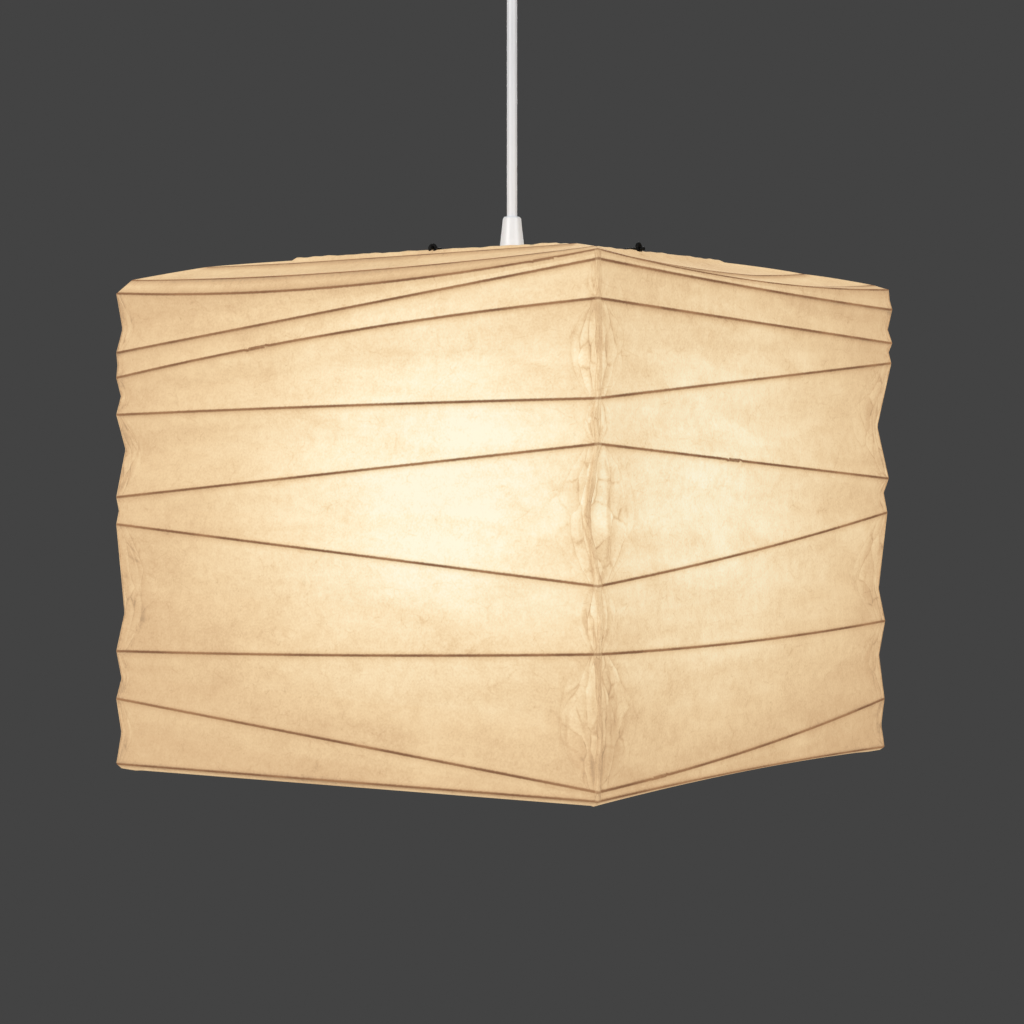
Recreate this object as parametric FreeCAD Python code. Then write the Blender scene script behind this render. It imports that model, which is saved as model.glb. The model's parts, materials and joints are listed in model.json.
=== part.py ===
import FreeCAD, Part
import math
import os

import Mesh

# A square paper lantern on bamboo hoops, hung from the ceiling by its cord. Millimetres, +Z up.
# The origin is the middle of the ceiling bracket's top face. Heights inside the shade are measured
# up from the shade's bottom edge, which hangs this far below the ceiling.
SHADE_BASE_Z = -684.0

# Paper shade
SIDE_HALF = 217.0
PAPER_THICKNESS = 0.3
RIB_RADIUS = 1.4
RIB_TO_PAPER = 0.5
RIB_BEND = 7.0
RIB_END_GAP = 0.6
SPLICE_RADIUS = 1.1
SPLICE_LENGTH = 16.0
CORNER_PULL = 0.07  # how far the paper draws in at a corner, as a share of the gap between two hoops
MID_PULL = 0.12  # the share of that left in the middle of a side
PULL_POWER = 8  # how closely the drawing in keeps to the corner
PANEL_COLUMNS = (-1.0, -0.9, -0.75, -0.5, -0.25, 0.0, 0.25, 0.5, 0.75, 0.9, 1.0)
FACET_TOLERANCE = 0.01

# Square wire rims of the two openings
RIM_HALF = 120.0
RIM_WIRE_RADIUS = 1.5
RIM_BEND = 12.0
TOP_RIM_HEIGHT = 387.4
TOP_RIM_TILT = 1.43  # degrees, with the front lower than the back
LOWER_RIM_HEIGHT = -2.2
RIM_PAPER_HALF = 122.4
EYE_RADIUS = 2.8
EYE_WIRE_RADIUS = 0.95
EYE_ABOVE_RIM = 4.1

# Hoops from the top down: half side, then the height at the front-left, front-right, back-right and
# back-left corners, then the side and the place along it, from -1 to 1, where its ends are spliced.
ROOF_HOOPS = (
    ("roof_rib_2", 169.0, (380.0, 378.3, 382.0, 380.0), "back", 0.4),
    ("roof_rib_1", 209.0, (370.0, 370.5, 376.5, 372.0), "left", -0.5),
)
SIDE_HOOPS = (
    ("side_rib_1", SIDE_HALF, (359.0, 367.5, 373.5, 362.0), "front", 0.80),
    ("side_rib_2", SIDE_HALF, (314.0, 361.0, 357.0, 345.0), "left", 0.3),
    ("side_rib_3", SIDE_HALF, (295.0, 334.7, 330.0, 318.0), "front", -0.36),
    ("side_rib_4", SIDE_HALF, (267.0, 268.0, 314.0, 292.0), "back", -0.6),
    ("side_rib_5", SIDE_HALF, (204.0, 238.4, 220.0, 240.0), "right", -0.16),
    ("side_rib_6", SIDE_HALF, (184.0, 143.4, 193.0, 152.0), "left", 0.7),
    ("side_rib_7", SIDE_HALF, (87.0, 99.0, 105.0, 78.0), "back", 0.1),
    ("side_rib_8", SIDE_HALF, (51.0, 7.2, 42.0, 24.0), "right", -0.63),
    ("side_rib_9", SIDE_HALF, (1.0, 1.4, 2.4, 2.0), "left", -0.2),
)
UNDERSIDE_HOOP = ("underside_rib", 168.0, (-4.5, -4.5, -4.5, -4.5), "back", 0.7)

# How far a hoop or fold sags below a straight line in the middle of a side, or rises above it
ROW_SAGS = {
    ("roof_rib_2", "front"): 0.4,
    ("roof_rib_1", "front"): 5.3,
    ("side_rib_1", "front"): 10.7,
    ("side_rib_3", "front"): -6.0,
    ("side_rib_4", "front"): -1.2,
    ("side_rib_7", "front"): 2.0,
    ("roof_rib_2", "right"): 5.5,
    ("roof_rib_1", "right"): 9.5,
    ("side_rib_1", "right"): 6.6,
    ("side_rib_2", "right"): 1.8,
    ("side_rib_6", "right"): 3.2,
    ("side_rib_7", "right"): 3.7,
    ("side_rib_8", "right"): 5.4,
    ("side_rib_9", "right"): -2.4,
    ("outer_turn", "right"): -2.6,
    ("inner_turn", "right"): -3.9,
    ("underside_rib", "right"): -2.6,
    ("side_rib_3", "back"): 3.0,
    ("side_rib_6", "back"): -2.5,
    ("side_rib_5", "left"): 2.5,
    ("side_rib_8", "left"): 3.0,
}
SAG_BENDS = (-0.5, 0.0, 0.5)

# How far, along X and along Y, a hoop reaches out past the square at the back-right corner
BACK_RIGHT_REACH = {
    "roof_rib_1": 1.0,
    "side_rib_1": 2.5,
    "side_rib_2": 4.7,
    "side_rib_3": 4.7,
    "side_rib_4": 4.1,
    "side_rib_5": 2.6,
    "side_rib_6": 1.7,
    "side_rib_7": 0.4,
}

# The paper's other rows: its edge at each rim, and two folds where it turns under
TOP_EDGE = (RIM_PAPER_HALF, (386.2, 384.0, 391.0, 390.4))
TURN_UNDER = (
    ("outer_turn", 214.5, (-2.5, -1.5, 0.4, -1.0)),
    ("inner_turn", 207.0, (-4.5, -3.5, -1.0, -3.0)),
)
LOWER_EDGE = (RIM_PAPER_HALF, (-4.0, -4.0, -4.0, -4.0))

# Wire frame
FRAME_WIRE_RADIUS = 1.2
FRAME_BEND = 10.0
HUB_RADIUS = 22.2
HUB_WIRE_RADIUS = 1.5
HUB_HEIGHT = 372.0
ARM_ABOVE_RIM = 4.7
ARM_INNER = 23.75
ARM_KNEE = 34.0
ARM_SHOULDER = 104.0
ARM_END = 125.0
LEG_TOP_OUT = 112.0
LEG_FOOT_BEND = 3.0
LEG_FOOT_OUT = 121.2
ARM_TURNS = {"front": 5.0, "right": -2.6, "back": 0.0, "left": 0.0}  # degrees off the middle of each side

# Cord, strain relief and lamp holder
CORD_RADIUS = 4.0
CORD_CLEARANCE = 0.3
CORD_TOP_Z = -52.0
CORD_END_HEIGHT = 403.0
CORD_END_PLAY = 0.5
CORE_PASSAGE = 3.5
RELIEF_TOP = 425.0
RELIEF_TOP_RADIUS = 7.1
RELIEF_ROUND = 1.2
RELIEF_FLARE = 402.0
RELIEF_FLARE_RADIUS = 9.5
RELIEF_BASE = 396.0
RELIEF_BASE_RADIUS = 10.2
HOLDER_RADIUS = 19.75
HOLDER_INNER = 17.2
HOLDER_TOP = 380.0
HOLDER_BOTTOM = 316.0
CAP_RADIUS = 20.5
CAP_WALL = 2.0
CAP_SHOULDER = 386.0
LEDGE_HEIGHT = 352.0
LEDGE_THICKNESS = 3.0
LEDGE_INNER = 12.0
CERAMIC_RADIUS = 17.0
CERAMIC_BOTTOM = 344.0
SHELL_INNER = 13.7
SHELL_WALL = 0.6
SHELL_BOTTOM = 321.0
SHELL_FLANGE = 16.5
CONTACT_LEAF = (13.0, 5.0, 0.5)
RIVET_RADIUS = 1.9
CLAMP_INNER = 19.95
CLAMP_OUTER = 26.0
CLAMP_HEIGHT = 6.0
CLAMP_PLAY = 0.05

# Bulb: E27 cap and a 95 mm globe
GLOBE_RADIUS = 47.5
GLOBE_HEIGHT = 236.0
GLASS_WALL = 1.0
NECK_RADIUS = 15.0
NECK_TOP = 314.0
NECK_FILLET = 20.0
BULB_CAP_RADIUS = 13.2
BULB_CAP_ROOT = 12.4
BULB_CAP_INNER = 11.6
BULB_CAP_TOP = 337.0
BULB_CAP_PITCH = 3.629
INSULATOR_TOP = 341.0
INSULATOR_RADIUS = 11.0
TIP_RADIUS = 4.5
TIP_TOP = 343.0

# Ceiling fitting
BRACKET = (76.0, 20.0, 2.5)
BRACKET_ROUND = 9.0
BRACKET_HOLE_SPACING = 60.0
BRACKET_HOLE_RADIUS = 2.25
HOOK_WIRE_RADIUS = 2.0
HOOK_BEND = 7.0
BEND_FLAT = 0.01  # half the short flat between the two arcs of a hook or bail
HOOK_BOTTOM_Z = -24.0
HOOK_TIP_Z = -13.0
RING_RADIUS = 7.5
RING_WIRE_RADIUS = 1.5
LINK_PLAY = 0.1
BAIL_HALF = 6.0
BAIL_END_Z = -50.0
HANGER_TOP_Z = -42.0
HANGER_BOTTOM_Z = -64.0
HANGER_HALF = (13.0, 11.0)
HANGER_ROUND = 3.0
HANGER_SCREW_OUT = 8.0
HANGER_SCREW_Z = -58.0
SCREW_RADIUS = 1.5
SCREW_HEAD_RADIUS = 3.0
SCREW_HEAD_HEIGHT = 2.0
SCREW_PLAY = 0.1
TERMINAL = (24.0, 10.0, 14.0)
TERMINAL_CENTRE_Z = -55.0
TERMINAL_PITCH = 8.0
TERMINAL_ROW = 3.5
TERMINAL_SCREW_RADIUS = 1.7
TERMINAL_SCREW_LENGTH = 2.6
TERMINAL_SCREW_SINK = 1.0
CANOPY_RADIUS = 45.0
CANOPY_WALL = 1.5
CANOPY_RIM_Z = -10.0
CANOPY_BOTTOM_Z = -70.0
CANOPY_ROUND = 8.0
COLLAR_RADIUS = 9.0
COLLAR_BOTTOM_Z = -79.0
GRIP_SCREW_Z = -75.0
GRIP_HEAD_RADIUS = 3.2
GRIP_HEAD_LENGTH = 4.0
GRIP_HEAD_GAP = 0.5

CORNERS = {"front_left": (-1, -1), "front_right": (1, -1), "back_right": (1, 1), "back_left": (-1, 1)}
CORNER_NAMES = tuple(CORNERS)
SIDES = {
    "front": ("front_left", "front_right"),
    "right": ("front_right", "back_right"),
    "back": ("back_right", "back_left"),
    "left": ("back_left", "front_left"),
}
UP = FreeCAD.Vector(0, 0, 1)


def shade_z(height):
    return SHADE_BASE_Z + height


def vector(x, y, z):
    return FreeCAD.Vector(x, y, z)


def save(shape, node):
    shape.exportStep(f"parts/{node}.step")


def rounded_path(points, bend):
    """Straight runs through the points, with a tangent arc of the given radius at each inner point."""
    edges = []
    start = points[0]
    for before, corner, after in zip(points, points[1:], points[2:]):
        back = (before - corner).normalize()
        ahead = (after - corner).normalize()
        half_turn = (math.pi - back.getAngle(ahead)) / 2
        first = corner + back * (bend * math.tan(half_turn))
        last = corner + ahead * (bend * math.tan(half_turn))
        middle = corner + (back + ahead).normalize() * (bend / math.cos(half_turn) - bend)
        edges.append(Part.makeLine(start, first))
        edges.append(Part.Arc(first, middle, last).toShape())
        start = last
    edges.append(Part.makeLine(start, points[-1]))
    return Part.Wire(edges)


def rod(points, radius, bend):
    """A round wire or stick along the points."""
    section = Part.Wire(Part.makeCircle(radius, points[0], points[1] - points[0]))
    return rounded_path(points, bend).makePipeShell([section], True, False)


def turned(profile):
    """A solid of revolution about Z from (radius, z) points."""
    points = [vector(radius, 0, z) for radius, z in profile]
    face = Part.Face(Part.makePolygon(points + points[:1]))
    return face.revolve(vector(0, 0, 0), UP, 360)


def tube(outer, inner, bottom, top):
    return turned([(inner, bottom), (outer, bottom), (outer, top), (inner, top)])


def round_upright(block, radius):
    """The block with its four upright edges rounded."""
    upright = [edge for edge in block.Edges if edge.BoundBox.ZLength > block.BoundBox.ZLength / 2]
    return block.makeFillet(radius, upright)


def side_turn(side):
    """Degrees about Z from the middle of the front side to where a side's arm stands."""
    return 90 * list(SIDES).index(side) + ARM_TURNS[side]


def turned_to(side, shape):
    """A piece that is drawn on the front side, turned to where a side's arm stands."""
    return shape.rotated(vector(0, 0, 0), UP, side_turn(side))


def sag_share(place):
    """Share of a hoop's sag at a place from -1 to 1 along a side, straight between the bends."""
    return min(1 - abs(place) / 2, 1.5 * (1 - abs(place)))


def side_height(row, side, place):
    """Height of a row at a place from -1 to 1 along a side, between its two corners."""
    _, heights, _, name = row
    first, last = (heights[CORNER_NAMES.index(corner)] for corner in SIDES[side])
    sag = ROW_SAGS.get((name, side), 0.0)
    return first + (last - first) * (place + 1) / 2 - sag * sag_share(place)


def corner_halves(row, side):
    """How far out along X and along Y a row lies at a side's two corners."""
    half, _, _, name = row
    reach = BACK_RIGHT_REACH.get(name, 0.0)
    return [half + reach if corner == "back_right" else half for corner in SIDES[side]]


def side_point(side, place, halves, z):
    """The point at a place from -1 to 1 along a side whose two corners lie this far out."""
    first, last = (vector(*CORNERS[corner], 0) * half for corner, half in zip(SIDES[side], halves))
    level = first + (last - first) * ((place + 1) / 2)
    return vector(level.x, level.y, z)


def paper_rows():
    """Half side, corner heights, drawn in or not, and name, for the paper's rows from the top edge down."""
    roof = [(half, heights, False, node) for node, half, heights, _, _ in ROOF_HOOPS]
    walls = [(half, heights, True, node) for node, half, heights, _, _ in SIDE_HOOPS]
    under = [(half, heights, False, name) for name, half, heights in TURN_UNDER]
    node, half, heights, _, _ = UNDERSIDE_HOOP
    below = [*under, (half, heights, False, node), (*LOWER_EDGE, False, None)]
    return [(*TOP_EDGE, False, None), *roof, *walls, *below]


def step_normal(upper, lower, side, place):
    """Outward direction, as (half side, height), of the paper between two rows at a place along a side."""
    across = lower[0] - upper[0]
    down = side_height(upper, side, place) - side_height(lower, side, place)
    size = math.hypot(across, down)
    return down / size, across / size


def row_normal(rows, index, side, place):
    """The move, as (half side, height), that takes a row 1 mm out from both of the steps that meet there."""
    near = rows[max(index - 1, 0) : index + 2]
    steps = [step_normal(upper, lower, side, place) for upper, lower in zip(near, near[1:])]
    out, up = (sum(step[axis] for step in steps) for axis in (0, 1))
    scale = len(steps) / (out**2 + up**2)
    return out * scale, up * scale


def wall_waist(upper, lower, side, place, inset):
    """A point halfway between two side hoops, where the paper draws in, most of all at the corners."""
    top = side_height(upper, side, place)
    bottom = side_height(lower, side, place)
    weight = MID_PULL + (1 - MID_PULL) * place**PULL_POWER
    drawn_in = inset + CORNER_PULL * weight * (top - bottom)
    pairs = zip(corner_halves(upper, side), corner_halves(lower, side))
    halves = [(above + below) / 2 - drawn_in for above, below in pairs]
    return side_point(side, place, halves, shade_z((top + bottom) / 2))


def row_point(rows, index, side, place, inset):
    """The point at a place along a row, set in from the paper's outer surface by a distance."""
    row = rows[index]
    out, up = row_normal(rows, index, side, place)
    z = shade_z(side_height(row, side, place)) - inset * up
    return side_point(side, place, [half - inset * out for half in corner_halves(row, side)], z)


def panel_grid(side, inset):
    """Rows of points over one side's sheet, set in from its outer surface by a distance."""
    rows = paper_rows()
    grid = []
    for index, row in enumerate(rows):
        grid.append([row_point(rows, index, side, place, inset) for place in PANEL_COLUMNS])
        if row[2] and rows[index + 1][2]:
            below = rows[index + 1]
            grid.append([wall_waist(row, below, side, place, inset) for place in PANEL_COLUMNS])
    return grid


def grid_triangles(grid):
    triangles = []
    for upper, lower in zip(grid, grid[1:]):
        for a, b, c, d in zip(upper, upper[1:], lower[1:], lower):
            triangles += [(a, d, c), (a, c, b)]
    return triangles


def paper_panel(side):
    """One side's sheet as a thin closed solid of flat facets, cut on the corner planes."""
    outer = panel_grid(side, 0.0)
    inner = panel_grid(side, PAPER_THICKNESS)
    triangles = grid_triangles(outer)
    triangles += [(a, c, b) for a, b, c in grid_triangles(inner)]
    edges = [
        (outer[0], inner[0]),
        (inner[-1], outer[-1]),
        ([row[0] for row in inner], [row[0] for row in outer]),
        ([row[-1] for row in outer], [row[-1] for row in inner]),
    ]
    for first, second in edges:
        triangles += grid_triangles([second, first])
    mesh = Mesh.Mesh([[tuple(point) for point in triangle] for triangle in triangles])
    shape = Part.Shape()
    shape.makeShapeFromMesh(mesh.Topology, FACET_TOLERANCE)
    solid = Part.makeSolid(shape)
    if solid.Volume < 0:
        solid.reverse()
    return solid


def hoop_point(node, side, place):
    """A point of a hoop's centre line, inside the paper."""
    rows = paper_rows()
    index = [row[3] for row in rows].index(node)
    return row_point(rows, index, side, place, PAPER_THICKNESS + RIB_TO_PAPER + RIB_RADIUS)


def hoop_places(node, side):
    """Places along a side where a hoop bends: where it sags, and at the side's end."""
    return [*SAG_BENDS, 1.0] if (node, side) in ROW_SAGS else [1.0]


def hoop_and_splice(node, side, place):
    """A bamboo hoop with its two ends meeting on one side, and the short stick that laps them inside."""
    sides = list(SIDES)
    turn = sides.index(side)
    stops = [(side, stop) for stop in hoop_places(node, side) if stop > place]
    for each in sides[turn + 1 :] + sides[:turn]:
        stops += [(each, stop) for stop in hoop_places(node, each)]
    stops += [(side, stop) for stop in hoop_places(node, side) if stop < place]
    points = [hoop_point(node, *stop) for stop in stops]
    middle = hoop_point(node, side, place)
    along = (points[0] - points[-1]).normalize()
    gap = along * (RIB_END_GAP / 2)
    hoop = rod([middle + gap, *points, middle - gap], RIB_RADIUS, RIB_BEND)
    inward = vector(0, 0, 1).cross(along).normalize()
    seat = middle + inward * (RIB_RADIUS + SPLICE_RADIUS)
    splice = Part.makeCylinder(SPLICE_RADIUS, SPLICE_LENGTH, seat - along * (SPLICE_LENGTH / 2), along)
    return hoop, splice


def make_shade():
    splices = []
    for node, _, _, side, place in (*ROOF_HOOPS, *SIDE_HOOPS, UNDERSIDE_HOOP):
        hoop, splice = hoop_and_splice(node, side, place)
        save(hoop, node)
        splices.append(splice)
    save(Part.makeCompound(splices), "rib_splices")
    for side in SIDES:
        save(paper_panel(side), f"paper_panel_{side}")


def square_rim(height):
    """A closed square of wire with rounded corners."""
    z = shade_z(height)
    corners = [(-RIM_HALF, 0), (-RIM_HALF, -RIM_HALF), (RIM_HALF, -RIM_HALF), (RIM_HALF, 0)]
    front = rod([vector(x, y, z) for x, y in corners], RIM_WIRE_RADIUS, RIM_BEND)
    back = front.rotated(vector(0, 0, 0), UP, 180)
    return front.fuse(back).removeSplitter().Solids[0]


def make_rims():
    centre = vector(0, 0, shade_z(TOP_RIM_HEIGHT))
    eye_place = centre + vector(0, -RIM_HALF, EYE_ABOVE_RIM)
    eye = Part.makeTorus(EYE_RADIUS, EYE_WIRE_RADIUS, eye_place, vector(0, 1, 0))
    level = square_rim(TOP_RIM_HEIGHT).fuse([turned_to(side, eye) for side in SIDES]).Solids[0]
    save(level.rotated(centre, vector(1, 0, 0), TOP_RIM_TILT), "top_rim")
    save(square_rim(LOWER_RIM_HEIGHT), "lower_rim")


def arm_height(side):
    """Height of an arm's outer end, which lies in an eye of the tilted top rim."""
    forward = RIM_HALF * math.cos(math.radians(side_turn(side)))
    return TOP_RIM_HEIGHT + ARM_ABOVE_RIM - forward * math.tan(math.radians(TOP_RIM_TILT))


def make_frame():
    hub = Part.makeTorus(HUB_RADIUS, HUB_WIRE_RADIUS, vector(0, 0, shade_z(HUB_HEIGHT)), UP)
    save(hub, "frame_hub")
    foot_out = RIM_HALF - LEG_FOOT_BEND
    foot_height = LOWER_RIM_HEIGHT - LEG_FOOT_BEND
    for side in SIDES:
        end_height = arm_height(side)
        arm_route = [
            (ARM_END, end_height),
            (ARM_SHOULDER, end_height),
            (ARM_KNEE, HUB_HEIGHT),
            (ARM_INNER, HUB_HEIGHT),
        ]
        leg_route = [
            (LEG_TOP_OUT, end_height - FRAME_WIRE_RADIUS),
            (foot_out, foot_height),
            (LEG_FOOT_OUT, foot_height),
        ]
        for name, route, bend in (("arm", arm_route, FRAME_BEND), ("leg", leg_route, LEG_FOOT_BEND)):
            points = [vector(0, -out, shade_z(height)) for out, height in route]
            save(turned_to(side, rod(points, FRAME_WIRE_RADIUS, bend)), f"frame_{name}_{side}")


def make_holder():
    bore = CORD_RADIUS + CORD_CLEARANCE
    relief = [
        (bore, CORD_END_HEIGHT - CORD_END_PLAY),
        (bore, RELIEF_TOP),
        (RELIEF_TOP_RADIUS - RELIEF_ROUND, RELIEF_TOP),
        (RELIEF_TOP_RADIUS, RELIEF_TOP - RELIEF_ROUND),
        (RELIEF_FLARE_RADIUS, RELIEF_FLARE),
        (RELIEF_BASE_RADIUS, RELIEF_BASE),
        (CORE_PASSAGE, RELIEF_BASE),
        (CORE_PASSAGE, CORD_END_HEIGHT - CORD_END_PLAY),
    ]
    cap = [
        (CORE_PASSAGE, RELIEF_BASE),
        (RELIEF_BASE_RADIUS, RELIEF_BASE),
        (CAP_RADIUS, CAP_SHOULDER),
        (CAP_RADIUS, HOLDER_TOP),
        (CAP_RADIUS - CAP_WALL, HOLDER_TOP),
        (CAP_RADIUS - CAP_WALL, CAP_SHOULDER - CAP_WALL / 2),
        (RELIEF_BASE_RADIUS - CAP_WALL / 2, RELIEF_BASE - CAP_WALL),
        (CORE_PASSAGE, RELIEF_BASE - CAP_WALL),
    ]
    ledge_top = LEDGE_HEIGHT + LEDGE_THICKNESS
    body = [
        (HOLDER_RADIUS, HOLDER_BOTTOM),
        (HOLDER_RADIUS, HOLDER_TOP),
        (HOLDER_INNER, HOLDER_TOP),
        (HOLDER_INNER, ledge_top),
        (LEDGE_INNER, ledge_top),
        (LEDGE_INNER, LEDGE_HEIGHT),
        (HOLDER_INNER, LEDGE_HEIGHT),
        (HOLDER_INNER, HOLDER_BOTTOM),
    ]
    shell = [
        (SHELL_INNER, SHELL_BOTTOM),
        (SHELL_INNER + SHELL_WALL, SHELL_BOTTOM),
        (SHELL_INNER + SHELL_WALL, CERAMIC_BOTTOM - SHELL_WALL),
        (SHELL_FLANGE, CERAMIC_BOTTOM - SHELL_WALL),
        (SHELL_FLANGE, CERAMIC_BOTTOM),
        (SHELL_INNER, CERAMIC_BOTTOM),
    ]
    profiles = {"strain_relief": relief, "holder_cap": cap, "holder_body": body, "holder_screw_shell": shell}
    for node, profile in profiles.items():
        save(turned([(radius, shade_z(height)) for radius, height in profile]), node)
    bottom, top = shade_z(CERAMIC_BOTTOM), shade_z(LEDGE_HEIGHT)
    save(tube(CERAMIC_RADIUS, RIVET_RADIUS, bottom, top), "holder_ceramic")
    length, width, thickness = CONTACT_LEAF
    leaf = Part.makeBox(length, width, thickness, vector(-length / 2, -width / 2, bottom - thickness))
    rivet = Part.makeCylinder(RIVET_RADIUS, top - bottom, vector(0, 0, bottom), UP)
    save(leaf.fuse(rivet), "holder_centre_contact")
    face = HUB_WIRE_RADIUS + CLAMP_PLAY
    for name, low in (("upper", face), ("lower", -face - CLAMP_HEIGHT)):
        low_z = shade_z(HUB_HEIGHT + low)
        save(tube(CLAMP_OUTER, CLAMP_INNER, low_z, low_z + CLAMP_HEIGHT), f"clamp_ring_{name}")


def globe_outline(inset):
    """Edges of half the globe's section, from the neck's top to the bottom pole, set in by a distance."""
    ball = GLOBE_RADIUS - inset
    fillet = NECK_FILLET + inset
    neck = NECK_RADIUS - inset
    out = neck + fillet
    rise = math.sqrt((ball + fillet) ** 2 - out**2)
    centre_z = shade_z(GLOBE_HEIGHT)
    swing = math.atan2(rise, out)
    knee = vector(out - fillet, 0, centre_z + rise)
    seat = vector(ball * math.cos(swing), 0, centre_z + ball * math.sin(swing))
    bend = vector(out - fillet * math.cos(swing / 2), 0, centre_z + rise - fillet * math.sin(swing / 2))
    half_way = (swing - math.pi / 2) / 2
    belly = vector(ball * math.cos(half_way), 0, centre_z + ball * math.sin(half_way))
    pole = vector(0, 0, centre_z - ball)
    return [
        Part.makeLine(vector(neck, 0, shade_z(NECK_TOP)), knee),
        Part.Arc(knee, bend, seat).toShape(),
        Part.Arc(seat, belly, pole).toShape(),
    ]


def bulb_globe():
    outer = globe_outline(0.0)
    inner = globe_outline(GLASS_WALL)
    top, pole = (
        Part.makeLine(outer[0].Vertexes[0].Point, inner[0].Vertexes[0].Point),
        Part.makeLine(vector(0, 0, outer[2].BoundBox.ZMin), vector(0, 0, inner[2].BoundBox.ZMin)),
    )
    outline = Part.Wire(Part.__sortEdges__([*outer, pole, *inner, top]))
    return Part.Face(outline).revolve(vector(0, 0, 0), UP, 360)


def make_bulb():
    save(bulb_globe(), "bulb_globe")
    cap = [(BULB_CAP_INNER, NECK_TOP), (BULB_CAP_INNER, BULB_CAP_TOP), (BULB_CAP_ROOT, BULB_CAP_TOP)]
    height = BULB_CAP_TOP
    while height - BULB_CAP_PITCH > NECK_TOP:
        cap.append((BULB_CAP_RADIUS, height - BULB_CAP_PITCH / 2))
        cap.append((BULB_CAP_ROOT, height - BULB_CAP_PITCH))
        height -= BULB_CAP_PITCH
    cap.append((BULB_CAP_ROOT, NECK_TOP))
    insulator = [
        (0.0, BULB_CAP_TOP),
        (INSULATOR_RADIUS, BULB_CAP_TOP),
        (TIP_RADIUS, INSULATOR_TOP),
        (0.0, INSULATOR_TOP),
    ]
    tip = [
        (0.0, INSULATOR_TOP),
        (TIP_RADIUS, INSULATOR_TOP),
        (TIP_RADIUS / 2, TIP_TOP),
        (0.0, TIP_TOP),
    ]
    for node, profile in (("bulb_screw_cap", cap), ("bulb_insulator", insulator), ("bulb_contact", tip)):
        save(turned([(radius, shade_z(height)) for radius, height in profile]), node)


def make_bracket_and_links():
    length, width, thickness = BRACKET
    strap = Part.makeBox(length, width, thickness, vector(-length / 2, -width / 2, -thickness))
    strap = round_upright(strap, BRACKET_ROUND)
    for side in (-1, 1):
        place = vector(side * BRACKET_HOLE_SPACING / 2, 0, -thickness)
        strap = strap.cut(Part.makeCylinder(BRACKET_HOLE_RADIUS, thickness, place, UP))
    save(strap, "ceiling_bracket")

    hook_route = [
        (HOOK_BEND, -thickness),
        (HOOK_BEND, HOOK_BOTTOM_Z),
        (-HOOK_BEND, HOOK_BOTTOM_Z),
        (-HOOK_BEND, HOOK_TIP_Z),
    ]
    hook = rod([vector(x, 0, z) for x, z in hook_route], HOOK_WIRE_RADIUS, HOOK_BEND - BEND_FLAT)
    save(hook, "ceiling_hook")

    ring_top = HOOK_BOTTOM_Z + HOOK_WIRE_RADIUS + RING_WIRE_RADIUS + LINK_PLAY
    ring_centre = vector(0, 0, ring_top - RING_RADIUS)
    ring = Part.makeTorus(RING_RADIUS, RING_WIRE_RADIUS, ring_centre, vector(1, 0, 0))
    save(ring, "suspension_ring")
    ring_bottom = ring_top - 2 * RING_RADIUS
    print(f"hook axis z {HOOK_BOTTOM_Z}, ring bottom axis z {ring_bottom}")
    return ring_bottom + 2 * RING_WIRE_RADIUS + LINK_PLAY


def make_hanger(bail_top):
    bail_route = [
        (-BAIL_HALF, BAIL_END_Z),
        (-BAIL_HALF, bail_top),
        (BAIL_HALF, bail_top),
        (BAIL_HALF, BAIL_END_Z),
    ]
    bail = rod([vector(x, 0, z) for x, z in bail_route], RING_WIRE_RADIUS, BAIL_HALF - BEND_FLAT)
    save(bail, "hanger_bail")

    half_x, half_y = HANGER_HALF
    tall = HANGER_TOP_Z - HANGER_BOTTOM_Z
    block = Part.makeBox(2 * half_x, 2 * half_y, tall, vector(-half_x, -half_y, HANGER_BOTTOM_Z))
    block = round_upright(block, HANGER_ROUND)
    cord_depth = CORD_TOP_Z - HANGER_BOTTOM_Z
    holes = [Part.makeCylinder(CORD_RADIUS + SCREW_PLAY, cord_depth, vector(0, 0, HANGER_BOTTOM_Z), UP)]
    screws = []
    for side in (-1, 1):
        leg = vector(side * BAIL_HALF, 0, BAIL_END_Z)
        holes.append(Part.makeCylinder(RING_WIRE_RADIUS + SCREW_PLAY, HANGER_TOP_Z - BAIL_END_Z, leg, UP))
        start = vector(side * HANGER_SCREW_OUT, -half_y, HANGER_SCREW_Z)
        along = vector(0, 1, 0)
        holes.append(Part.makeCylinder(SCREW_RADIUS + SCREW_PLAY, 2 * half_y, start, along))
        shank = Part.makeCylinder(SCREW_RADIUS, 2 * half_y, start, along)
        head = Part.makeCylinder(SCREW_HEAD_RADIUS, SCREW_HEAD_HEIGHT, start, along * -1)
        screws.append(shank.fuse(head))
    save(block.cut(holes), "cord_hanger")
    save(Part.makeCompound(screws), "cord_clamp_screws")


def make_terminal():
    length, depth, tall = TERMINAL
    back_y = HANGER_HALF[1]
    block = Part.makeBox(length, depth, tall, vector(-length / 2, back_y, TERMINAL_CENTRE_Z - tall / 2))
    holes = []
    screws = []
    for column in (-1, 0, 1):
        for row in (-1, 1):
            x, z = column * TERMINAL_PITCH, TERMINAL_CENTRE_Z + row * TERMINAL_ROW
            seat = vector(x, back_y + depth - TERMINAL_SCREW_LENGTH - TERMINAL_SCREW_SINK, z)
            along = vector(0, 1, 0)
            hole_radius = TERMINAL_SCREW_RADIUS + SCREW_PLAY
            hole_depth = TERMINAL_SCREW_LENGTH + TERMINAL_SCREW_SINK
            holes.append(Part.makeCylinder(hole_radius, hole_depth, seat, along))
            screws.append(Part.makeCylinder(TERMINAL_SCREW_RADIUS, TERMINAL_SCREW_LENGTH, seat, along))
    save(block.cut(holes), "terminal_block")
    save(Part.makeCompound(screws), "terminal_screws")


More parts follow.
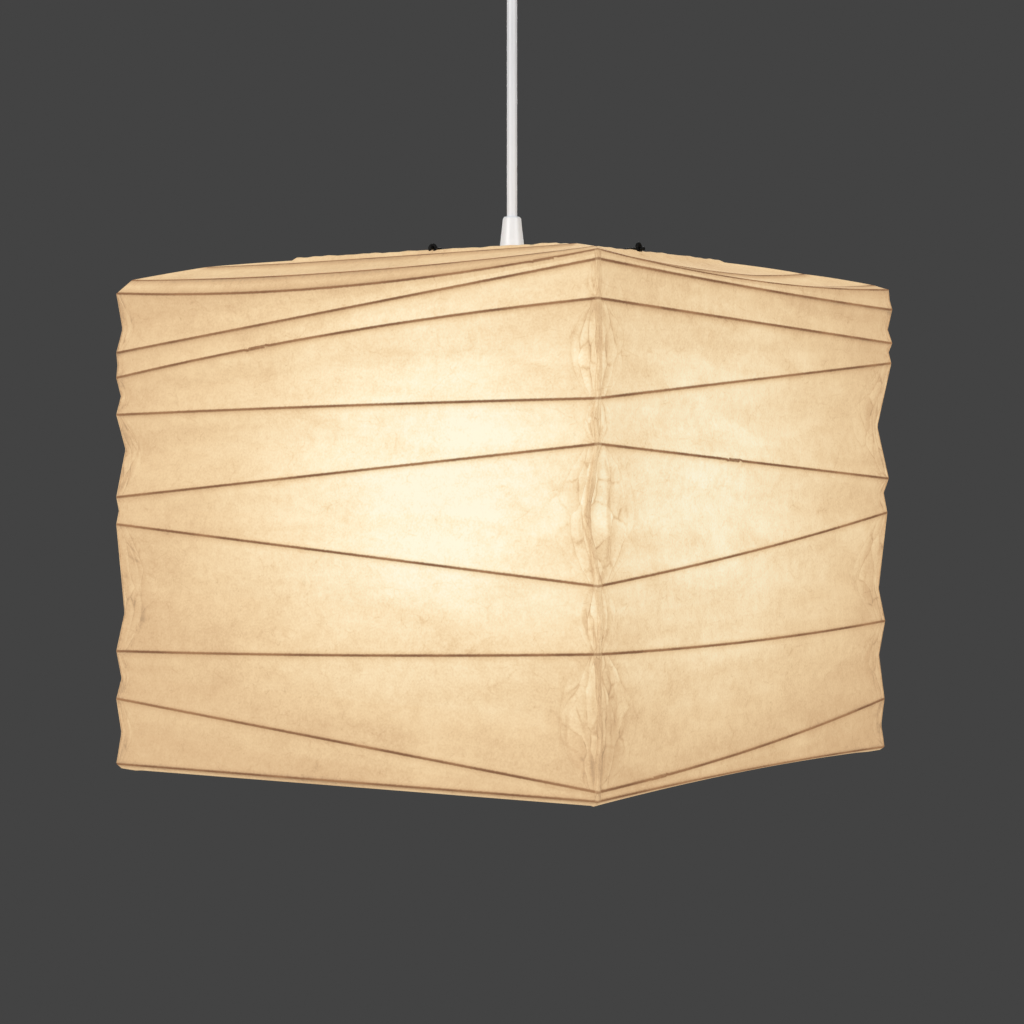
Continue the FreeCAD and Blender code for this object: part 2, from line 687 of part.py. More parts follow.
def make_canopy():
    inner = CANOPY_RADIUS - CANOPY_WALL
    bore = CORD_RADIUS + CORD_CLEARANCE
    floor_z = CANOPY_BOTTOM_Z + CANOPY_WALL
    cup = turned(
        [
            (bore, COLLAR_BOTTOM_Z),
            (COLLAR_RADIUS, COLLAR_BOTTOM_Z),
            (COLLAR_RADIUS, CANOPY_BOTTOM_Z),
            (CANOPY_RADIUS - CANOPY_ROUND, CANOPY_BOTTOM_Z),
            (CANOPY_RADIUS - CANOPY_ROUND / 3, CANOPY_BOTTOM_Z + CANOPY_ROUND / 3),
            (CANOPY_RADIUS, CANOPY_BOTTOM_Z + CANOPY_ROUND),
            (CANOPY_RADIUS, CANOPY_RIM_Z),
            (inner, CANOPY_RIM_Z),
            (inner, floor_z + CANOPY_ROUND - CANOPY_WALL),
            (inner - CANOPY_ROUND, floor_z),
            (bore, floor_z),
        ]
    )
    start = vector(bore, 0, GRIP_SCREW_Z)
    along = vector(1, 0, 0)
    axis_point = vector(0, 0, GRIP_SCREW_Z)
    cup = cup.cut(Part.makeCylinder(SCREW_RADIUS + SCREW_PLAY, 2 * COLLAR_RADIUS, axis_point, along))
    save(cup, "canopy_cup")
    shank = Part.makeCylinder(SCREW_RADIUS, COLLAR_RADIUS - bore + 2 * GRIP_HEAD_GAP, start, along)
    head_start = vector(COLLAR_RADIUS + GRIP_HEAD_GAP, 0, GRIP_SCREW_Z)
    head = Part.makeCylinder(GRIP_HEAD_RADIUS, GRIP_HEAD_LENGTH, head_start, along)
    save(shank.fuse(head), "canopy_grip_screw")


def make_cord():
    end_z = shade_z(CORD_END_HEIGHT)
    cord = Part.makeCylinder(CORD_RADIUS, CORD_TOP_Z - end_z, vector(0, 0, end_z), UP)
    save(cord, "power_cord")
    print(f"cord length {CORD_TOP_Z - end_z} mm")


os.makedirs("parts", exist_ok=True)
make_hanger(make_bracket_and_links())
make_terminal()
make_canopy()
make_cord()
make_holder()
make_bulb()
make_frame()
make_rims()
make_shade()
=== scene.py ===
import json
import math
import random

import bpy
import numpy as np
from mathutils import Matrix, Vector
from mathutils.geometry import delaunay_2d_cdt


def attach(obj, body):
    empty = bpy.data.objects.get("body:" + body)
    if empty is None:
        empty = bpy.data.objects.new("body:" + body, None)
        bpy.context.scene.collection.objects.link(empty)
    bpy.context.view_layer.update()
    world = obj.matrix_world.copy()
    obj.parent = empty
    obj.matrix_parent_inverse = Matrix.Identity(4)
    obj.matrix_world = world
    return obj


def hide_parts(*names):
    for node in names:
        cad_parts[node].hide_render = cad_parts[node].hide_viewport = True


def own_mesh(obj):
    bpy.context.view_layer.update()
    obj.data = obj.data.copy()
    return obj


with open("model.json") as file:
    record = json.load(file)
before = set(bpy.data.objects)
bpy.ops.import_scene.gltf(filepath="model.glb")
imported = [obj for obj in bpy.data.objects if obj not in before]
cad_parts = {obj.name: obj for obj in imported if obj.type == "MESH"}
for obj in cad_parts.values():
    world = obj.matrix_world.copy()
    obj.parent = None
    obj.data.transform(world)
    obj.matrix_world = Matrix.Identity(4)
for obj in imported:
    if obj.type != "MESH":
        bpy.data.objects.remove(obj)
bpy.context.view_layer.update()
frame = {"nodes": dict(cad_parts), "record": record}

# A lit square paper lantern. Metres, +Z up, with the ceiling at z = 0. Sizes in millimetres carry MM.
MM = 0.001

# View: a level camera that looks at the lamp's axis, to the left of the shade's near corner
IMAGE_SIZE = 1024
FOCAL_PIXELS = 2400
SENSOR_WIDTH = 36.0
CAMERA_TURN = math.radians(34.3)
CAMERA_DISTANCE = 1.888
CAMERA_Z = -0.491
BACKDROP_GREY = 0.056
FLOOR_DROP = 1.35
FLOOR_RADIUS = 2.6

# Lamps: softboxes by their turn from the camera's direction in degrees, with size and power
SOFTBOXES = {"left_softbox": (-48, 1.7, 65), "right_softbox": (52, 1.7, 51), "back_softbox": (180, 1.8, 46)}
SOFTBOX_DISTANCE = 2.9
SOFTBOX_Z = 0.3
OVERHEAD_Z = 1.9
OVERHEAD_SIZE = 2.6
OVERHEAD_POWER = 19

# Shade: corners seen from above, and the left and right end of each side seen from outside
CORNERS = {"front_left": (-1, -1), "front_right": (1, -1), "back_right": (1, 1), "back_left": (-1, 1)}
SIDES = {
    "front": ("front_left", "front_right"),
    "right": ("front_right", "back_right"),
    "back": ("back_right", "back_left"),
    "left": ("back_left", "front_left"),
}
OUTWARD = {"front": (0, -1, 0), "right": (1, 0, 0), "back": (0, 1, 0), "left": (-1, 0, 0)}
SIDE_HALF = 217 * MM
SHADE_BASE_Z = -684 * MM
RIB_RADIUS = 1.4 * MM
RIB_SEAT = 2.2 * MM  # from a hoop's centre line out to the face of the paper on it
RIB_BITE = 3 * MM
SIDE_HOOPS = [f"side_rib_{number}" for number in range(1, 10)]
ROOF_HOOPS = ["roof_rib_2", "roof_rib_1"]
HOOPS = [*ROOF_HOOPS, *SIDE_HOOPS, "underside_rib"]

# How far the paper lies off a hoop, as (outward, up) shares of its seat
SEAT_DIRECTIONS = {
    "roof_rib_2": (0.18, 0.98),
    "roof_rib_1": (0.47, 0.88),
    "side_rib_1": (1.0, 0.75),
    "side_rib_9": (1.0, -0.45),
    "underside_rib": (0.0, -1.0),
}

# Half side in millimetres, heights above the shade's bottom edge in the order of the corners, and how far
# the row rises in the middle of the right side
TOP_HEM = ((117.8, (386.2, 382.3, 391.2, 389.6), 0.0), (119.8, (389.8, 386.2, 394.2, 392.6), 0.8))
TOP_EDGE = (122.4, (387.4, 384.4, 392.6, 391.0), 0.0)
TURN_UNDER = ((214.5, (-2.5, -1.5, 0.4, -1.0), 3.8), (207.0, (-4.5, -3.5, -1.0, -3.0), 5.4))
LOWER_EDGE = (122.4, (-4.0, -4.0, -4.0, -4.0), 0.0)
HEM_WAVE = 0.22 * MM
HEM_WAVES = (41 * MM, 15 * MM)
HEM_FADE = 12 * MM

# Dimples at the corners, from the top gap between side hoops down: depth and sideways shift in millimetres,
# place of the deepest point in the gap, and width on the side that ends there and on the one that starts
# there, as shares of the gap
DIMPLES = {
    "front_left": (
        (3.3, 0.0, 0.60, 0.30, 0.35), (0.6, 0.0, 0.50, 0.40, 0.40), (2.5, 0.0, 0.50, 0.35, 0.45),
        (4.9, 0.6, 0.42, 0.30, 0.40), (1.4, 0.0, 0.50, 0.40, 0.40), (4.4, -0.6, 0.70, 0.20, 0.26),
        (2.8, 0.4, 0.57, 0.35, 0.40), (2.7, 0.0, 0.52, 0.30, 0.34),
    ),
    "front_right": (
        (0.4, 0.0, 0.50, 0.80, 0.80), (2.0, 0.6, 0.55, 0.35, 0.35), (5.0, 2.6, 0.48, 0.34, 0.20),
        (2.4, -1.4, 0.50, 0.40, 0.34), (6.6, -6.4, 0.50, 0.17, 0.20), (3.4, 2.8, 0.50, 0.26, 0.32),
        (6.4, 3.8, 0.60, 0.30, 0.22), (0.5, 0.0, 0.50, 0.80, 0.80),
    ),
    "back_right": (
        (0.5, 0.0, 0.50, 0.60, 0.60), (2.7, 0.0, 0.60, 0.45, 0.40), (1.9, 0.0, 0.45, 0.60, 0.60),
        (7.3, 1.0, 0.55, 0.26, 0.26), (2.7, 0.0, 0.42, 0.50, 0.45), (4.5, -0.8, 0.70, 0.22, 0.22),
        (3.5, 0.0, 0.43, 0.26, 0.28), (1.9, 0.0, 0.52, 0.40, 0.40),
    ),
    "back_left": (
        (1.2, 0.0, 0.50, 0.60, 0.60), (2.0, 0.8, 0.55, 0.40, 0.40), (2.2, -0.6, 0.50, 0.40, 0.40),
        (3.6, 1.2, 0.45, 0.28, 0.34), (5.6, -2.0, 0.55, 0.22, 0.22), (5.0, 1.6, 0.52, 0.26, 0.24),
        (3.6, -1.0, 0.46, 0.30, 0.30), (1.8, 0.0, 0.50, 0.40, 0.40),
    ),
}
DIMPLE_POWER = 0.7  # how full the outline of a dimple is
DIMPLE_LEAST = 0.001 * MM
FOLD_DEPTH = 0.042  # the soft fold halfway between two hoops, as a share of the gap
FOLD_FADE = 34 * MM
RIDGE_HEIGHT = 0.8 * MM  # how far a hoop lifts the paper that is pasted over it
ROOF_RIDGE_HEIGHT = 1.2 * MM
RIDGE_WIDTH = 1.3 * MM
RIDGE_WIDTHS = {"roof_rib_2": 2.6 * MM, "roof_rib_1": 2.6 * MM, "side_rib_1": 6 * MM}
RIDGE_FADE = 6 * MM
ROOF_DIP = 1.6 * MM
ROOF_DIP_POWER = 8  # how evenly it dips along a side
ROOF_STEP = 20 * MM
ROOF_LIFTS = {"front_left": 1.2 * MM, "back_right": 2.8 * MM}  # how far the roof bulges along a corner
ROOF_LIFT_REACH = 0.5  # as a share of half a side

# Crumpled shards at the corners: height in millimetres for each gap between side hoops
CRUMPLE_HEIGHTS = {
    "front_left": (1.0, 0.3, 0.7, 0.8, 0.4, 0.8, 0.6, 0.7),
    "front_right": (0.2, 0.6, 0.8, 0.8, 1.3, 0.8, 1.4, 0.3),
    "back_right": (0.4, 0.7, 0.6, 0.9, 0.6, 0.8, 0.7, 0.5),
    "back_left": (0.5, 0.6, 0.6, 0.8, 0.9, 0.8, 0.7, 0.5),
}
CRUMPLE_COUNT = 16
CRUMPLE_BORDER = 6
CRUMPLE_ACROSS = (0.12, 0.88)  # where its points lie across it and down it, and how far they stand out
CRUMPLE_DOWN = (0.08, 0.92)
CRUMPLE_OUT = (-1.0, 0.5)
CRUMPLE_SLIVER = 1e-6
CRUMPLE_MERGE = 1e-7
CRUMPLE_REACH = {"front": 0.36, "right": 0.56, "back": 0.45, "left": 0.42}  # as a share of the gap
CRUMPLE_WIDEST = 56 * MM
CRUMPLE_WAIST = 0.3  # width beside a hoop, as a share of the full width
CREASE_BENDS = (0.07, 0.34)  # turn of the surface where a crease's line starts to show, and is full

# Sharp little facets of the crumpled paper: how many lie across it, how tall they are, and the height of
# the crumple at which they show most
FACET_COLUMNS = 3.6
FACET_TALL = 23 * MM
FACET_FULL = 0.8 * MM
FACET_SPREAD = 1.3  # how wide they reach, as a share of the crumple's width
FACET_EDGE = 1.8  # how quickly they end at their edge
FACET_PATTERNS = 90
SEAM_FACET_WIDE = 3.2 * MM
SEAM_FACET_TALL = 13 * MM
SEAM_FACETS = 0.9

# Creases that fan out from the ends of the hoops, and slow ripples all over
FAN_COUNT = 6
FAN_ANGLES = (0.25, 1.3)
FAN_LENGTHS = (0.25, 0.75)  # as a share of the gap
FAN_LONGEST = 46 * MM
FAN_FULL = 0.3 * FAN_LONGEST  # a shorter crease is lower
FAN_WIDTHS = (1.1 * MM, 2.6 * MM)
FAN_START = 0.4  # width where a crease starts, as a share of its full width
FAN_HEIGHTS = (0.2 * MM, 0.55 * MM)
RIPPLE_HEIGHT = 0.55 * MM
RIPPLE_COUNT = 7
RIPPLES_ALONG = (60 * MM, 190 * MM)
RIPPLES_UP = (26 * MM, 70 * MM)

# Mesh density of the paper
ROW_STEP = 2.9 * MM
RIB_ROWS = (0.7 * MM, 1.4 * MM, 2.2 * MM, 3.4 * MM, 5.0 * MM)
EDGE_COLUMNS = 40
EDGE_BAND = 58 * MM
MIDDLE_COLUMNS = 22
LEAST_COLUMN = 0.2 * MM
LAP_COLUMNS = (-0.8, -0.7, -0.6, -0.5, -0.48, 0.0, 0.48, 0.5, 0.6, 0.7, 0.8)
PAPER_THICKNESS = 0.25 * MM

# Pasted corner seams: width on the side that ends at the corner and on the side that starts there
SEAM_WIDTHS = {
    "front_left": (5.0 * MM, 0.8 * MM),
    "front_right": (2.7 * MM, 3.6 * MM),
    "back_right": (0.8 * MM, 5.0 * MM),
    "back_left": (3.2 * MM, 3.2 * MM),
}
SEAM_WAVE = 0.2  # how unevenly its edges run, as a share of its width
SEAM_LONG_WAVE = 9 * MM
SEAM_SHORT_WAVE = 3.7 * MM
SEAM_LIFT = 0.35 * MM
SEAM_STEPS = (-1.0, -0.75, -0.35, 0.0, 0.35, 0.75, 1.0)

# Points of a hoop along each side, from -1 to 1, and the knots of its bamboo
HOOP_ENDS = np.linspace(0.9, 0.968, 4)
HOOP_PLACES = np.concatenate([-HOOP_ENDS[::-1], np.linspace(-0.8, 0.8, 17), HOOP_ENDS])
KNOT_PLACES = ((-0.9, -0.3), (0.1, 0.8))
KNOT_REACH = 0.06
KNOT_SIZE = 0.16  # how much thicker a knot is, as a share of the stick

# Where the ends of each hoop lap, from the top hoop down: side, and place along it from -1 to 1
SPLICE_PLACES = (
    ("back", 0.4), ("left", -0.5), ("front", 0.80), ("left", 0.3), ("front", -0.36), ("back", -0.6),
    ("right", -0.16), ("left", 0.7), ("back", 0.1), ("right", -0.63), ("left", -0.2), ("back", 0.7),
)
SPLICES = [(node, *place) for node, place in zip(HOOPS, SPLICE_PLACES)]
SPLICE_LENGTH = 16 * MM
SPLICE_RADIUS = 1.1 * MM
SPLICE_OFFSET = 0.8 * MM
SPLICE_DEEP = 0.5 * MM  # how far behind the paper they lie
SPLICE_RUN_OUT = 0.25  # where an end moves aside, as a share of the length
SPLICE_TAPER = (0.45, 0.9, 1.0, 1.0, 1.0, 0.9, 0.45)
RIB_FAR = 12 * MM
ROOF_RIB_CLOSER = 0.75  # a hoop of the roof shows as if the paper were this much closer to it, which widens its painted shadow

# Wire loops on the top rim
EYE_RADIUS = 2.7 * MM
EYE_WIRE_RADIUS = 1.25 * MM
EYE_RISES = {"front": -0.9 * MM, "right": 0.8 * MM, "back": 0.0, "left": 0.0}
EYE_STEPS = 24

# Glow of each side's paper: least light, light added at the brightest place, where that is along the
# side, and how far the light spreads sideways, upwards and downwards
GLOW_SIDES = {
    "front": (0.074, 0.51, 87 * MM, 155 * MM, 156 * MM, 118 * MM),
    "right": (0.058, 0.42, -78 * MM, 215 * MM, 150 * MM, 136 * MM),
    "back": (0.070, 0.44, -20 * MM, 175 * MM, 135 * MM, 118 * MM),
    "left": (0.070, 0.44, 15 * MM, 175 * MM, 135 * MM, 118 * MM),
}
GLOW_Z = SHADE_BASE_Z + 202 * MM
GLOW_TILT = 0.9  # how strongly a crease brightens or darkens the light that comes through
GLOW_RANGE = (0.7, 1.12)
GLOW_OFF_WALL = 0.22  # light through the roof and the underside
ROOF_SHADE = 0.42  # how much of it is lost beside a hoop, and how far from it in millimetres
ROOF_SHADE_REACH = 4.5

# Cord from its end in the strain relief up to the hanger
CORD_BOTTOM_Z = SHADE_BASE_Z + 403 * MM
CORD_TOP_Z = -52 * MM
CORD_DIAMETER = 8 * MM


class Row:
    """A line of the paper right round the shade: a hoop, a fold or an edge."""

    def __init__(self, halves, heights, name="", sags=None):
        self.half = min(halves)
        self.plan = {corner: np.array(CORNERS[corner]) * half for corner, half in zip(CORNERS, halves)}
        self.heights = dict(zip(CORNERS, heights))
        self.name = name
        self.sags = sags or {}

    def points(self, side, u):
        """Points at places u, from -1 to 1 along a side."""
        first, last = SIDES[side]
        share = (u + 1) / 2
        plan = np.outer(1 - share, self.plan[first]) + np.outer(share, self.plan[last])
        z = self.heights[first] * (1 - share) + self.heights[last] * share
        return np.column_stack([plan, z - self.sags.get(side, 0.0) * (1 - u**2)])


def along_side(side):
    """Direction from a side's left end to its right end, as seen from outside."""
    return np.cross((0, 0, 1), OUTWARD[side])


def shade_row(size):
    half, heights, rise = size
    heights = [SHADE_BASE_Z + height * MM for height in heights]
    return Row([half * MM] * len(heights), heights, sags={"right": -rise * MM})


def hoop_row(node):
    """The paper's row over a hoop, read from the hoop's place in the frame."""
    points = np.array([vertex.co for vertex in frame["nodes"][node].data.vertices])
    out, up = SEAT_DIRECTIONS.get(node, (1.0, 0.0))
    halves, heights = {}, {}
    for corner, direction in CORNERS.items():
        turned = points[:, :2] * np.array(direction)
        reach = turned.sum(axis=1)
        heights[corner] = points[reach > reach.max() - RIB_BITE, 2].mean()
        halves[corner] = turned[(turned > 0).all(axis=1)].max(axis=0).min() - RIB_RADIUS
    sags = {}
    for side, (first, last) in SIDES.items():
        outward, along = points @ OUTWARD[side], points @ along_side(side)
        middle = points[(outward > halves[first] - RIB_BITE) & (np.abs(along) < RIB_BITE), 2]
        if len(middle):
            sags[side] = (heights[first] + heights[last]) / 2 - middle.mean()
    paper_halves = [half + RIB_SEAT * out for half in halves.values()]
    return Row(paper_halves, [z + RIB_SEAT * up for z in heights.values()], node, sags)


def paper_rows():
    top = [shade_row(size) for size in (*TOP_HEM, TOP_EDGE)]
    hoops = [hoop_row(node) for node in (*ROOF_HOOPS, *SIDE_HOOPS)]
    under = [shade_row(size) for size in TURN_UNDER]
    return [*top, *hoops, *under, hoop_row("underside_rib"), shade_row(LOWER_EDGE)]


ROWS = paper_rows()
WALL_BANDS = [index for index, row in enumerate(ROWS) if row.name in SIDE_HOOPS[:-1]]


def peak(t, apex):
    """1 at the apex, falling straight to 0 at both ends."""
    return np.where(t < apex, t / apex, (1 - t) / (1 - apex))


def bow(t):
    """1 halfway, falling in a bow to 0 at both ends."""
    return 4 * t * (1 - t)


def band_point(side, index, u, t):
    """Points of the plain surface between a row and the next one down."""
    upper, lower = (row.points(side, u) for row in ROWS[index : index + 2])
    return upper * (1 - t)[:, None] + lower * t[:, None]


class Corner:
    """Creases of one side's paper beside a corner, between a hoop and the next one down."""

    def __init__(self, side, index, end):
        corner = SIDES[side][0 if end < 0 else 1]
        band = WALL_BANDS.index(index)
        self.rng = random.Random(f"creases {side} {band} {end}")
        self.gap = ROWS[index].heights[corner] - ROWS[index + 1].heights[corner]
        self.reach = min(CRUMPLE_REACH[side] * self.gap, CRUMPLE_WIDEST)
        height = CRUMPLE_HEIGHTS[corner][band] * MM
        self.strength = min(1, height / FACET_FULL)
        self.facets = self.shards(height)
        self.fan = [self.crease(number) for number in range(FAN_COUNT)]
        self.pattern = self.rng.uniform(0, FACET_PATTERNS)

    def shards(self, height):
        """Long facets between scattered points, which are level along the corner and the hoops.

        Their places are (across, down): across from 0 on the corner to 1 at the end of the crumple.
        """
        rng = self.rng
        border = np.linspace(0, 1, CRUMPLE_BORDER)
        level = [(0, t) for t in border] + [(1, t) for t in border]
        level += [(s, t) for s in border[1:-1] for t in (0, 1)]
        points = [(s, t, 0.0) for s, t in level]
        for _ in range(CRUMPLE_COUNT):
            s, t = rng.uniform(*CRUMPLE_ACROSS), rng.uniform(*CRUMPLE_DOWN)
            points.append((s, t, height * rng.uniform(*CRUMPLE_OUT) * (1 - s / 2)))
        found = delaunay_2d_cdt([Vector(point[:2]) for point in points], [], [], 0, CRUMPLE_MERGE, True)
        kept = [(*place, points[sources[0]][2]) for place, sources in zip(found[0], found[3])]
        return np.array([[kept[number] for number in face] for face in found[2]])

    def crease(self, number):
        """Angle to the hoop, length, half width and height, and whether it starts at the lower hoop."""
        rng = self.rng
        length = min(rng.uniform(*FAN_LENGTHS) * self.gap, FAN_LONGEST)
        height = rng.uniform(*FAN_HEIGHTS) * min(1, length / FAN_FULL) * rng.choice((-1, 1))
        return rng.uniform(*FAN_ANGLES), length, rng.uniform(*FAN_WIDTHS), height, number % 2 == 1

    def share_across(self, across, t):
        """0 on the corner and 1 at the end of the crumple, which is narrow beside the hoops."""
        return across / (self.reach * (CRUMPLE_WAIST + (1 - CRUMPLE_WAIST) * np.sin(math.pi * t)))

    def facet_places(self, across, t):
        """Places in the pattern of facets, and how strongly they show there."""
        s = self.share_across(across, t) / FACET_SPREAD
        down = t * self.gap / FACET_TALL
        places = np.column_stack([s * FACET_COLUMNS, down, np.full(len(s), self.pattern)])
        return places, self.strength * np.clip(FACET_EDGE * (1 - s), 0, 1)

    def shard_heights(self, across, t):
        s = self.share_across(across, t)
        result = np.zeros(len(s))
        for a, b, c in self.facets:
            (bx, by, bh), (cx, cy, ch) = b - a, c - a
            area = bx * cy - cx * by
            if abs(area) < CRUMPLE_SLIVER:
                continue
            x, y = s - a[0], t - a[1]
            second = (x * cy - y * cx) / area
            third = (y * bx - x * by) / area
            inside = np.minimum.reduce([second, third, 1 - second - third]) >= -CRUMPLE_SLIVER
            result[inside] = a[2] + second[inside] * bh + third[inside] * ch
        return result

    def heights(self, across, t, gap):
        """How far the paper stands out, at distances from the corner and shares t of the gap down."""
        total = self.shard_heights(across, t)
        for angle, length, width, height, from_below in self.fan:
            deep = gap * (1 - t if from_below else t)
            share = np.clip((across * math.cos(angle) + deep * math.sin(angle)) / length, 0, 1)
            aside = np.abs(deep * math.cos(angle) - across * math.sin(angle))
            near = np.clip(1 - aside / (width * (FAN_START + share)), 0, 1)
            total += height * np.sin(math.pi * share) * near
        return total


def ripples(side, along, z):
    """Slow waves of the sheet, longer across than up."""
    rng = random.Random(f"ripples {side}")
    total = np.zeros(len(along))
    for _ in range(RIPPLE_COUNT):
        across = math.tau / rng.uniform(*RIPPLES_ALONG)
        upward = math.tau / rng.uniform(*RIPPLES_UP) * rng.choice((-1, 1))
        total += np.sin(across * along + upward * z + rng.uniform(0, math.tau))
    return total / RIPPLE_COUNT


CREASE_PLACES = [(side, index, end) for side in SIDES for index in WALL_BANDS for end in (-1, 1)]
CREASES = {place: Corner(*place) for place in CREASE_PLACES}


def beside_corners(side, index, u):
    """Creases at both ends of a wall band, which points lie beside them, and how far from the corner."""
    for end in (-1, 1):
        across = np.abs(end - u) * SIDE_HALF
        near = across < EDGE_BAND
        yield CREASES[side, index, end], near, across[near]


def arc(t, apex):
    """1 at the apex, falling in a round curve to 0 at both ends."""
    return np.sin(math.pi / 2 * peak(t, apex)) ** DIMPLE_POWER


def dimple_moves(side, index, u, t):
    """How far points of a wall band move where the paper is drawn in at both corners."""
    total = np.zeros((len(u), 3))
    for end, corner in zip((-1, 1), SIDES[side]):
        depth, shift, apex, ends_here, starts_here = DIMPLES[corner][WALL_BANDS.index(index)]
        gap = ROWS[index].heights[corner] - ROWS[index + 1].heights[corner]
        x, y = CORNERS[corner]
        sideways = shift * math.sqrt(0.5)
        move = np.array([-x * depth - y * sideways, -y * depth + x * sideways, 0]) * MM
        width = (starts_here if end < 0 else ends_here) * gap * arc(t, apex)
        distance = np.abs(end - u) * SIDE_HALF
        weight = peak(t, apex) * np.clip(1 - distance / np.maximum(width, DIMPLE_LEAST), 0, 1)
        total += np.outer(weight, move)
    return total


def corner_fade(u, reach):
    """0 on the corners, rising to 1 at a distance from them."""
    return np.clip((1 - np.abs(u)) * SIDE_HALF / reach, 0, 1)


def row_spans(side, index, u):
    """Distance from a row straight to the next one down, at places along a side."""
    upper, lower = (row.points(side, u) for row in ROWS[index : index + 2])
    return np.linalg.norm(upper - lower, axis=1)


def ridges(side, index, u, t):
    """How much the hoops above and below hold the paper out, from 0 to 1."""
    total = np.zeros(len(u))
    span = row_spans(side, index, u)
    for row, share in zip(ROWS[index : index + 2], (t, 1 - t)):
        if row.name:
            width = RIDGE_WIDTHS.get(row.name, RIDGE_WIDTH)
            total = np.maximum(total, np.exp(-((share * span / width) ** 2)))
    return total


def hem_waves(side, along, u):
    """How unevenly the folded top edge runs."""
    phase = random.Random(f"hem {side}").uniform(0, math.tau)
    waves = sum(np.sin(along / length * math.tau + phase * length / MM) for length in HEM_WAVES)
    return HEM_WAVE * waves * corner_fade(u, HEM_FADE)


def roof_lift(side, points, u):
    """How far the roof bulges along the corners at both ends of a side."""
    edge = TOP_EDGE[0] * MM
    slope = np.sin(math.pi * np.clip((points @ OUTWARD[side] - edge) / (SIDE_HALF - edge), 0, 1))
    total = np.zeros(len(u))
    for end, corner in zip((-1, 1), SIDES[side]):
        near = np.clip(1 - np.abs(end - u) / ROOF_LIFT_REACH, 0, 1)
        total += ROOF_LIFTS.get(corner, 0.0) * slope * near
    return total


def roof_point(side, index, u, t):
    """Points of the roof, its hem or the underside, at places u along a side and t down a band."""
    points = band_point(side, index, u, t)
    upper, lower = ROWS[index], ROWS[index + 1]
    if index < len(TOP_HEM):
        points[:, 2] += hem_waves(side, points @ along_side(side), u) * (1 - t if index else 1)
    if index < WALL_BANDS[0]:
        points[:, 2] += roof_lift(side, points, u)
    if abs(lower.half - upper.half) > ROOF_STEP:
        low = ROOF_RIDGE_HEIGHT * (1 - ridges(side, index, u, t)) * corner_fade(u, RIDGE_FADE)
        dip = ROOF_DIP * bow(t) * (1 - u**ROOF_DIP_POWER)
        points[:, 2] -= (dip + low) * np.sign(lower.half - upper.half)
    return points


def paper_point(side, index, u, t):
    """Points of the creased sheet, at places u along a side and t from a row down to the next."""
    if index not in WALL_BANDS:
        return roof_point(side, index, u, t)
    points = band_point(side, index, u, t)
    upper, lower = ROWS[index], ROWS[index + 1]
    low = RIDGE_HEIGHT * (1 - ridges(side, index, u, t)) * corner_fade(u, RIDGE_FADE)
    gap = upper.points(side, u)[:, 2] - lower.points(side, u)[:, 2]
    fade = corner_fade(u, FOLD_FADE)
    out = RIPPLE_HEIGHT * ripples(side, points @ along_side(side), points[:, 2]) * bow(t) * fade
    out -= FOLD_DEPTH * gap * peak(t, 0.5) * fade + low
    for creases, near, across in beside_corners(side, index, u):
        out[near] += creases.heights(across, t[near], gap[near])
    return points + np.outer(out, OUTWARD[side]) + dimple_moves(side, index, u, t)


def new_object(name, data):
    piece = bpy.data.objects.new(name, data)
    bpy.context.scene.collection.objects.link(piece)
    return piece


def new_mesh(name, points, faces, material):
    mesh = bpy.data.meshes.new(name)
    mesh.from_pydata([tuple(point) for point in points], [], faces)
    mesh.polygons.foreach_set("use_smooth", [True] * len(mesh.polygons))
    mesh.materials.append(material)
    mesh.update()
    return new_object(name, mesh)


def grid_faces(rows, columns, closed=False):
    faces = []
    for row in range(rows - 1):
        for column in range(columns if closed else columns - 1):
            after = (column + 1) % columns
            above, below = row * columns, (row + 1) * columns
            faces.append((above + column, below + column, below + after, above + after))
    return faces


def attribute(piece, name, values):
    values = np.asarray(values, np.float32)
    kind, field = ("FLOAT", "value") if values.ndim == 1 else ("FLOAT_VECTOR", "vector")
    piece.data.attributes.new(name, kind, "POINT").data.foreach_set(field, values.ravel())


def side_columns(side):
    """Places along a side, close together near both corners and where the ends of hoops lap."""
    edge = np.linspace(0, EDGE_BAND, EDGE_COLUMNS, endpoint=False) / SIDE_HALF
    middle = np.linspace(-1 + EDGE_BAND / SIDE_HALF, 1 - EDGE_BAND / SIDE_HALF, MIDDLE_COLUMNS)
    places = [place for _, where, place in SPLICES if where == side]
    laps = np.add.outer(places, np.array(LAP_COLUMNS) * SPLICE_LENGTH / SIDE_HALF)
    columns = np.union1d(np.concatenate([-1 + edge, middle, 1 - edge]), laps)
    return columns[np.diff(columns, prepend=-2) > LEAST_COLUMN / SIDE_HALF]


def band_steps(index):
    """Places down a band: close together beside a hoop, one halfway, and one at the sheet's own end."""
    upper, lower = ROWS[index], ROWS[index + 1]
    drops = [upper.heights[corner] - lower.heights[corner] for corner in CORNERS]
    span = max(math.hypot(drop, upper.half - lower.half) for drop in drops)
    beside = np.array([0.0] + [distance / span for distance in RIB_ROWS if distance < span / 3])
    first = beside if upper.name else beside[:1]
    last = 1 - (beside if lower.name else beside[:1])[::-1]
    count = 2 * max(1, round((last[0] - first[-1]) * span / ROW_STEP / 2))
    steps = np.concatenate([first[:-1], np.linspace(first[-1], last[0], count + 1), last[1:]])
    return steps if index == len(ROWS) - 2 else steps[:-1]


